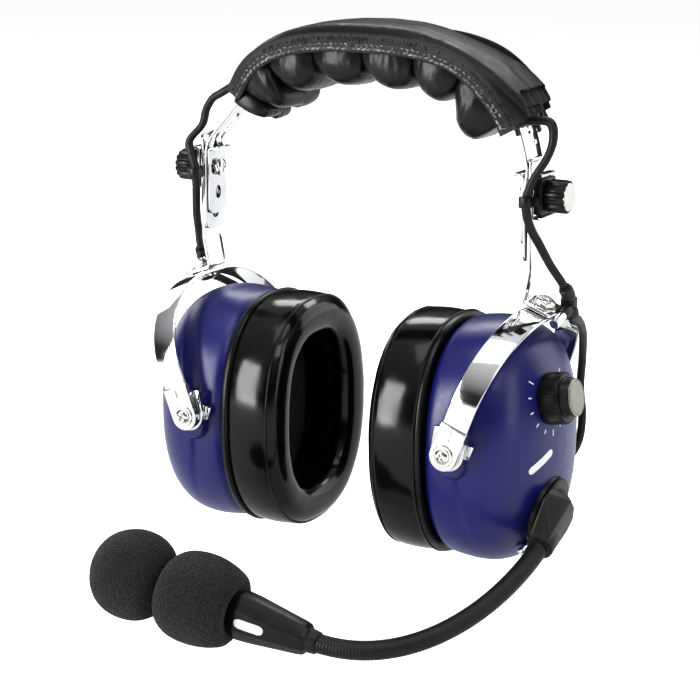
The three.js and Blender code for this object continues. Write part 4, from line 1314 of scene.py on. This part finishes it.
def seal_relief(x, y, z):
    a = math.atan2(z - CUP_Z, y)
    d = 0.20 * fbm(x * 0.035, y * 0.03, z * 0.03, 2) + 0.05 * perlin(x * 0.12, y * 0.09, z * 0.09)
    # crumpled skin over the upper edge of the face
    top = max(0.0, 1 - abs(math.degrees(a) - 112) / 52)
    face = max(0.0, min(1.0, (31 - x) / 5.0))
    if top > 0 and face > 0:
        from_centre = (y * y + (z - CUP_Z) ** 2) ** 0.5
        edge = math.exp(-((x - 25.6) / 2.6) ** 2)
        v = Vector((x * 0.75, a * 24.0, from_centre * 0.20))
        ridged = 1 - 2.4 * abs(perlin(*v))
        patches = 0.5 + 0.9 * abs(perlin(*(v * 0.35 + Vector((4, 1, 7)))))
        d += 0.30 * top ** 0.7 * edge * (ridged - 0.5) * patches
    # the face sags a little between its seams
    return d + 0.10 * face * perlin(a * 5.0, x * 0.1, 3.0)


def build_seal():
    inner = by_angle(oval(0, 26, 35, 1440, power=2.6))
    outer = by_angle(oval(0, 44.0, 52.7, 1440))
    loop = resample(catmull([(t * PROFILE_SCALE, x) for t, x in SEAL_PROFILE], True, 10),
                    84, closed=True)
    rings = [[X * x + a + (b - a) * (t / PROFILE_SCALE) for t, x in loop]
             for a, b in zip(inner, outer)]
    obj = add_object("seal_cushion_left", skin(rings, closed=True), "seal_vinyl", 80)
    displace(obj, seal_relief)
    pair(obj, "cup", "vinyl", "ear_seal")

    # round ridge between the side wall and the face
    rings = []
    for i, (a, b) in enumerate(zip(inner, outer)):
        p = X * (26.55 + 0.12 * perlin(i * 0.22, 0, 3)) + a + (b - a) * 0.972
        radial = unit(vec(0, p[1], p[2] - CUP_Z))
        rings.append([p + radial * u + X * v for u, v in ellipse(0.52, 0.52, 10)])
    pair(add_object("seal_ridge_left", skin(rings, closed=True), "seal_vinyl", 60),
         "cup", "vinyl")


def build_inner_foam():
    """Quilted foam behind the opening."""
    rings = [even_oval(55.4, FOAM_Y, FOAM_Z, 96)]
    rim = even_oval(0, FOAM_Y, FOAM_Z, 96)
    for k in np.linspace(1.0, 0.04, 34):
        x = 49.9 - 1.1 * (1 - k ** 3)
        rings.append([vec(x, y * k, CUP_Z + (z - CUP_Z) * k) for _, y, z in rim])
    obj = add_object("inner_foam_left", skin(rings, cap="fan"), "windscreen_foam", 60)

    def quilt(x, y, z):
        if x >= 50.4:
            return 0.0
        return (0.35 * math.cos(y * 0.55) * math.cos((z - CUP_Z) * 0.55)
                + 0.2 * fbm(x * 0.6, y * 0.6, z * 0.6, 2))
    displace(obj, quilt)
    pair(obj, "cup", "foam", "filter_foam")


# ------------------------------------------------------------------ balance control
def build_balance():
    def knurled(i, r):
        return r - (0.32 if r > 10.2 and (i % 4) in (0, 1) else 0.0)
    ring = [(6.0, -3.5), (10.6, -3.4), (11.0, -2.6), (11.15, 0.0), (11.15, 4.6), (10.95, 5.5),
            (10.55, 5.95), (10.1, 6.0)]
    shape = lathe(ring, BALANCE, BALANCE_AXIS, 288, knurled)
    ride(add_object("balance_ring", shape, "black_plastic", 35),
         "balance_knob", "black", "balance_knob")
    cap = [(7.6, 5.5), (8.9, 5.95), (8.95, 6.2), (8.85, 6.5), (8.5, 6.7), (8.4, 7.0),
           (8.35, 9.0), (8.2, 9.6), (7.9, 10.0)]
    face = [(8.0, 9.8), (7.9, 10.2), (7.55, 10.42), (7.2, 10.44), (7.05, 10.27), (6.9, 10.27),
            (6.75, 10.44), (4, 10.48), (0.8, 10.5), (0.0, 10.5)]
    for name, profile, mat, slot in (("balance_cap", cap, "black_plastic", "black"),
                                     ("balance_cap_face", face, "cap_face", "steel")):
        shape = lathe(profile, BALANCE, BALANCE_AXIS, 128)
        ride(add_object(name, shape, mat, 30), "balance_knob", slot)


def surface_patch(tree, grid, direction):
    """A thin printed mark: a grid of points dropped onto the shell."""
    upper, lower = [], []
    for row in grid:
        for p in row:
            hit = tree.ray_cast(Vector((p + direction * 30) * MM), Vector(-direction))
            q, normal = np.array(hit[0]) / MM, np.array(hit[1])
            upper.append(q + normal * 0.06)
            lower.append(q - normal * 0.15)
    h, w = len(grid), len(grid[0])
    faces = []
    for k in (0, 1):
        for i in range(h - 1):
            for j in range(w - 1):
                a = k * h * w + i * w + j
                faces.append((a, a + 1, a + w + 1, a + w))
    edge = [(0, j) for j in range(w)] + [(i, w - 1) for i in range(1, h)]
    edge += [(h - 1, j) for j in range(w - 2, -1, -1)] + [(i, 0) for i in range(h - 2, 0, -1)]
    for (i, j), (k, m) in zip(edge, edge[1:] + edge[:1]):
        a, b = i * w + j, k * w + m
        faces.append((a, b, b + h * w, a + h * w))
    return upper + lower, faces


def build_marks():
    mesh = bpy.data.objects["shell_left"].data
    tree = BVHTree.FromPolygons([v.co[:] for v in mesh.vertices],
                                [tuple(p.vertices) for p in mesh.polygons])
    # ticks fanned round the balance knob
    ticks = []
    for k in range(11):
        a = math.radians(-40 + 26 * k)
        radial = math.cos(a) * Y + math.sin(a) * np.cross(Y, BALANCE_AXIS)
        sideways = np.cross(BALANCE_AXIS, radial)
        grid = [[BALANCE + radial * r + sideways * t for t in (-0.32, 0, 0.32)]
                for r in np.linspace(13.4, 16.2 if k % 5 == 0 else 15.2, 4)]
        ticks.append(surface_patch(tree, grid, BALANCE_AXIS))
    ride(add_object("balance_ticks", merge(*ticks), "white_print", 60, 0), "cup_left", "shell")

    # a plain bar with round ends under the control
    centre, half_length, half_height = vec(94, -17.5, -156.5), 8.5, 1.7
    along, up = unit(vec(0, 0.93, 0.36)), unit(vec(0, -0.36, 0.93))
    rows = []
    for v in np.linspace(-half_height, half_height, 7):
        e = half_height - math.sqrt(max(0, half_height ** 2 - v ** 2))
        rows.append([centre + along * u + up * v
                     for u in np.linspace(-half_length + e, half_length - e, 24)])
    bar = surface_patch(tree, rows, X)
    ride(add_object("plain_bar", bar, "white_print", 60, 0), "cup_left", "shell")


# ------------------------------------------------------------------ boom
# outlines of the block on the swivel, in y and along SWING_UP
BLOCK_BASE = [(-7.6, 13.4), (-13.0, 13.2), (-16.6, 11.4), (-22.4, -3.0), (-20.5, -12.5),
              (-12, -16.0), (0, -14.4), (8.5, -8), (10, 1), (4, 9.5)]
BLOCK_TOP = [(-3.5, 9.2), (2.8, 3.9), (4.6, -1.6), (0.6, -6.4), (-11.4, -13.0), (-20.6, -5.6),
             (-19.2, -2.4)]


def boom_at(t):
    """Point of the gooseneck's Bezier curve."""
    a, b, c, d = BOOM
    u = 1 - t
    return a * u ** 3 + 3 * b * u * u * t + 3 * c * u * t * t + d * t ** 3


def hull(name, points, mat):
    bm = bmesh.new()
    for p in points:
        bm.verts.new(np.asarray(p) * MM)
    bmesh.ops.convex_hull(bm, input=bm.verts)
    bmesh.ops.dissolve_limit(bm, angle_limit=math.radians(3), verts=bm.verts, edges=bm.edges)
    loose = [v for v in bm.verts if not v.link_faces]
    bmesh.ops.delete(bm, geom=loose, context="VERTS")
    bmesh.ops.recalc_face_normals(bm, faces=bm.faces)
    mesh = bpy.data.meshes.new(name)
    bm.to_mesh(mesh)
    bm.free()
    mesh.materials.append(MATS[mat])
    obj = bpy.data.objects.new(name, mesh)
    scene.collection.objects.link(obj)
    return obj


def build_boom_mount():
    flange = [(4.0, -12.5), (14.4, -12.4), (15.2, -11.5), (15.3, -3.0), (15.25, -2.2),
              (14.8, -1.6), (13.4, -1.4), (3.0, -1.4)]
    shape = lathe(flange, SWING, SWING_AXIS, 96)
    ride(add_object("boom_flange", shape, "black_plastic", 35), "cup_left", "black", "boom_base")
    hub = [(3.0, -1.1), (14.2, -1.1), (14.7, -0.8), (14.8, -0.1), (14.5, 0.4), (13.8, 0.6),
           (2.0, 0.6)]
    shape = lathe(hub, SWING, SWING_AXIS, 96)
    ride(add_object("boom_hub", shape, "satin_moulding", 35), "boom", "black", "boom_mount")

    points = [SWING + SWING_AXIS * h + SWING_UP * z + Y * y
              for h, outline in ((0.3, BLOCK_BASE), (1.6, BLOCK_BASE), (8.3, BLOCK_TOP))
              for y, z in outline]
    obj = bevel(hull("boom_block", points, "satin_moulding"), 0.5, 3, angle=20)
    socket = lathe([(5.7, -6.0), (5.9, 1.6), (5.6, 2.2)], BOOM[0], BOOM_START, 40)
    boolean(obj, [socket], "UNION")
    boolean(obj, [rod(BOOM[0], BOOM_START, 4.55, 0.6, 12)], edge=0.25, sharp=28)
    ride(obj, "boom", "black")

    collar = [(4.1, -2), (4.6, 1.2), (5.0, 2.9), (4.9, 3.4), (4.1, 3.6)]
    shape = lathe(collar, BOOM[0], BOOM_START, 40)
    ride(add_object("boom_collar", shape, "black_plastic", 35), "boom", "black")
    cord = [(1.6, -1), (2.2, 0), (2.3, 5), (1.9, 5.6), (0.2, 5.6)]
    shape = lathe(cord, (88.5, -16.5, -194.5), (-0.35, -0.75, -0.55), 32)
    ride(add_object("cord_socket", shape, "ferrule", 35), "boom", "steel")


def build_gooseneck():
    """Finely ribbed tube curved from the boom to the microphone."""
    path = resample([boom_at(t) for t in np.linspace(-0.006, 1.0, 500)], 640)
    rib_pitch = 1.35
    radii = 3.92 + 0.16 * np.abs(np.sin(np.pi * travel(path) / rib_pitch)) ** 0.6
    obj = add_object("gooseneck", tube(path, radii, 28), "cable_rubber", 70)
    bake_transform(obj)
    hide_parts("gooseneck_root", "gooseneck_tip")


# ------------------------------------------------------------------ microphone
# housing stations: distance along the axis, half depth, half height
HOUSING = [(0.6, 4.6, 4.9), (1.8, 5.9, 6.3), (4.0, 6.3, 6.8), (26, 7.6, 9.8), (33, 7.8, 10.4),
           (34.4, 7.2, 9.7), (38, 6.4, 8.2)]
HOUSING_FLAT = 0.42     # flat part of each face
# foam covers: radius, distance along the axis
FOAM_REAR = [(7.6, 37.2), (10.5, 35.9), (13.4, 35.7), (15.6, 36.9), (17.1, 39.8), (18.6, 44.5),
             (19.5, 50.5), (19.5, 56.5), (18.4, 62.0), (16.0, 66.0), (12.8, 68.3), (9.0, 69.0),
             (4.0, 69.1)]
FOAM_TIP = [(4.0, 69.5), (9.0, 69.6), (12.8, 70.5), (16.2, 73.2), (18.5, 77.8), (19.3, 83.0),
            (19.1, 88.2), (17.4, 93.4), (14.4, 97.6), (10.2, 100.8), (5.4, 102.4), (0.0, 102.8)]


def mic_point(h, rear, up):
    return MIC + MIC_AXIS * h + MIC_REAR * rear + MIC_UP * up


def build_mic_housing():
    rings = []
    for h, a, b in HOUSING:
        c, d = a * HOUSING_FLAT, b * HOUSING_FLAT
        octagon = [(a, d), (c, b), (-c, b), (-a, d), (-a, -d), (-c, -b), (c, -b), (a, -d)]
        rings.append([mic_point(h, u, v) for u, v in octagon])
    obj = add_object("mic_housing", skin(rings), "black_plastic", 25)
    bevel(obj, 0.5, 3, angle=18, sharp=30)
    ride(obj, "mic", "black", "mic_body")
    shape = lathe([(4.05, -3.4), (4.7, -3.0), (5.0, -0.6), (5.0, 1.0)], MIC, MIC_AXIS, 40)
    ride(add_object("mic_gland", shape, "cable_rubber", 35), "mic", "black")

    # plain bar with round ends on the front face
    station_h, station_depth, _ = zip(*HOUSING[2:5])
    half_height = 2.1
    rows = []
    for v in np.linspace(-half_height, half_height, 9):
        e = half_height - math.sqrt(max(0, half_height ** 2 - v ** 2))
        rows.append([mic_point(h, -(np.interp(h, station_h, station_depth) + 0.06), v - 0.4)
                     for h in np.linspace(19.0 + e, 32.4 - e, 18)])
    back = [[p + MIC_REAR * 0.3 for p in row] for row in rows]
    shape = merge(skin(rows, sheet=True), skin(back, sheet=True))
    ride(add_object("mic_bar", shape, "white_print", 60, 0), "mic", "shell")

    core = [(5.0, 37.5), (5.6, 38.4), (5.6, 71.5), (5.0, 72.4)]
    shape = lathe(core, MIC, MIC_AXIS, 40)
    ride(add_object("capsule_core", shape, "steel_nut", 30), "mic", "steel", "mic_capsule")


def build_mic_foam():
    for name, profile, piece, seed in (("foam_cover_rear", FOAM_REAR, "foam_rear", 3.0),
                                       ("foam_cover_tip", FOAM_TIP, "foam_tip", 9.0)):
        curve = resample(catmull(profile, per=16), 150)
        angles = [2 * math.pi * i / 190 for i in range(190)]
        rings = [[mic_point(h, max(r, 0.0) * math.cos(t), max(r, 0.0) * math.sin(t))
                  for t in angles] for r, h in curve]
        obj = add_object(name, skin(rings, cap="fan"), "windscreen_foam", 85)

        def pores(x, y, z):
            v = Vector((x, y, z))
            return (0.45 * perlin(*(v * 0.06 + Vector((seed, 0, 0))))
                    + 0.13 * perlin(*(v * 1.15 + Vector((0, seed, 0))))
                    + 0.10 * perlin(*(v * 2.3)) - 0.05)
        displace(obj, pores)
        ride(obj, "mic", "foam", piece)


# ------------------------------------------------------------------ stage, in metres
FLOOR_HALF, FLOOR_Z, FLOOR_GLOW = 6, -0.2445, 0.62
ROOM_BOTTOM, ROOM_TOP = (0.45, 0.45, 0.46, 1), (0.95, 0.95, 0.97, 1)
ROOM_BANDS = ((0.40, 0.22), (0.50, 0.04), (0.62, 0.05), (0.74, 0.40))  # height 0 to 1, grey
LIGHT_TARGET = Vector((0.0, -0.01, -0.115))
# name, direction from the target, distance, width, height, radiance
SOFTBOXES = [
    ("softbox_left", (-0.50, -0.80, 0.20), 1.7, 0.60, 0.95, 15.0),
    ("softbox_left_low", (-0.46, -0.86, -0.16), 1.7, 0.52, 0.62, 3.2),
    ("softbox_top", (0.10, -0.25, 1.0), 1.5, 1.3, 0.8, 2.4),
    ("softbox_rim", (-0.15, 0.72, 0.72), 1.7, 1.5, 0.45, 7.0),
    ("softbox_right", (0.97, -0.20, 0.28), 1.7, 0.55, 1.4, 3.2),
    ("softbox_front", (0.62, -0.62, 0.78), 1.8, 0.6, 0.45, 4.5),
    ("softbox_back_left", (-0.92, 0.42, 0.20), 1.8, 0.9, 1.5, 2.2),
    ("softbox_back_right", (0.62, 0.85, 0.35), 1.8, 1.0, 1.4, 2.2)]
CAMERA_TARGET, CAMERA_DISTANCE = Vector((0, -0.015, -0.1195)), 0.908
CAMERA_TURN, CAMERA_RISE = math.radians(28.87), math.radians(13.86)


def build_floor():
    mesh = bpy.data.meshes.new("floor")
    corners = [(x * FLOOR_HALF, y * FLOOR_HALF, FLOOR_Z)
               for x, y in ((-1, -1), (1, -1), (1, 1), (-1, 1))]
    mesh.from_pydata(corners, [], [(0, 1, 2, 3)])
    floor = bpy.data.objects.new("floor", mesh)
    scene.collection.objects.link(floor)
    mat = bpy.data.materials.new("pale_floor")
    mat.use_nodes = True
    tree = mat.node_tree
    tree.nodes.clear()
    diffuse = node(tree, "BsdfDiffuse", {0: (0.93, 0.93, 0.93, 1)})
    # the floor glows for the camera only
    seen = node(tree, "LightPath").outputs["Is Camera Ray"]
    strength = node(tree, "Math", {0: seen, 1: FLOOR_GLOW}, operation="MULTIPLY")
    glow = node(tree, "Emission", {0: (1, 1, 1, 1), 1: FLOOR_GLOW})
    tree.links.new(strength.outputs[0], glow.inputs[1])
    both = node(tree, "AddShader", {0: diffuse.outputs[0], 1: glow.outputs[0]})
    node(tree, "OutputMaterial", {0: both.outputs[0]})
    mesh.materials.append(mat)


def build_world():
    """White to the camera, an even fill for diffuse light, a banded room in reflections."""
    world = bpy.data.worlds.new("studio")
    scene.world = world
    world.use_nodes = True
    tree = world.node_tree
    tree.nodes.clear()
    white = node(tree, "Background", {0: (1, 1, 1, 1), 1: 1.0})
    coord = node(tree, "TexCoord").outputs["Generated"]
    height = node(tree, "SeparateXYZ", {0: coord}).outputs["Z"]
    height = node(tree, "MapRange", {"Value": height, "From Min": -1, "From Max": 1})
    ramp = node(tree, "ValToRGB", {0: height.outputs[0]})
    stops = ramp.color_ramp.elements
    stops[0].color = ROOM_BOTTOM
    stops[1].color = ROOM_TOP
    for position, grey in ROOM_BANDS:
        stops.new(position).color = (grey, grey, grey * 1.02, 1)
    room = node(tree, "Background", {0: ramp.outputs[0], 1: 1.0})
    fill = node(tree, "Background", {0: (1, 1, 1, 1), 1: 0.34})
    ray = node(tree, "LightPath").outputs
    lit = node(tree, "MixShader", {
        0: ray["Is Diffuse Ray"], 1: room.outputs[0], 2: fill.outputs[0]})
    seen = node(tree, "MixShader", {
        0: ray["Is Camera Ray"], 1: lit.outputs[0], 2: white.outputs[0]})
    node(tree, "OutputWorld", {0: seen.outputs[0]})


def add_aimed(name, data, target, direction, distance):
    """A light or camera that looks back at the target from the given direction."""
    obj = bpy.data.objects.new(name, data)
    scene.collection.objects.link(obj)
    obj.location = target + direction * distance
    obj.rotation_euler = direction.to_track_quat("Z", "Y").to_euler()
    return obj


def build_lights():
    for name, direction, distance, width, height, radiance in SOFTBOXES:
        light = bpy.data.lights.new(name, "AREA")
        light.shape = "RECTANGLE"
        light.size, light.size_y = width, height
        light.energy = radiance * width * height * math.pi
        obj = add_aimed(name, light, LIGHT_TARGET, Vector(direction).normalized(), distance)
        obj.visible_camera = False


def build_camera():
    camera = bpy.data.cameras.new("camera")
    camera.lens, camera.sensor_width = 106.13, 36.0
    camera.clip_start, camera.clip_end = 0.05, 50
    level = math.cos(CAMERA_RISE)
    back = Vector((math.sin(CAMERA_TURN) * level, -math.cos(CAMERA_TURN) * level,
                   math.sin(CAMERA_RISE)))
    scene.camera = add_aimed("camera", camera, CAMERA_TARGET, back, CAMERA_DISTANCE)
    scene.view_settings.view_transform = "Standard"
    scene.view_settings.look = "None"
    scene.view_settings.gamma = 0.84


for build in (build_spring, build_cover, build_sleeve, build_edges, build_pad, build_cables,
              build_blade, build_keeper, build_saddle, build_cable_hook, build_clamp_bolt,
              build_knob, build_yoke_strap, build_swivel, build_yoke_ends, build_guide,
              build_shell, build_lip, build_seal, build_inner_foam, build_balance, build_marks,
              build_boom_mount, build_gooseneck, build_mic_housing, build_mic_foam,
              build_floor, build_world, build_lights, build_camera):
    build()

# pieces hidden inside keep their CAD form and a finish of their own
for name, finish in (("driver_left", "black_plastic"), ("driver_right", "black_plastic"),
                     ("balance_pot", "steel_nut"), ("boom_pin", "steel_nut")):
    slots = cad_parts[name].data.materials
    slots.clear()
    slots.append(MATS[finish])
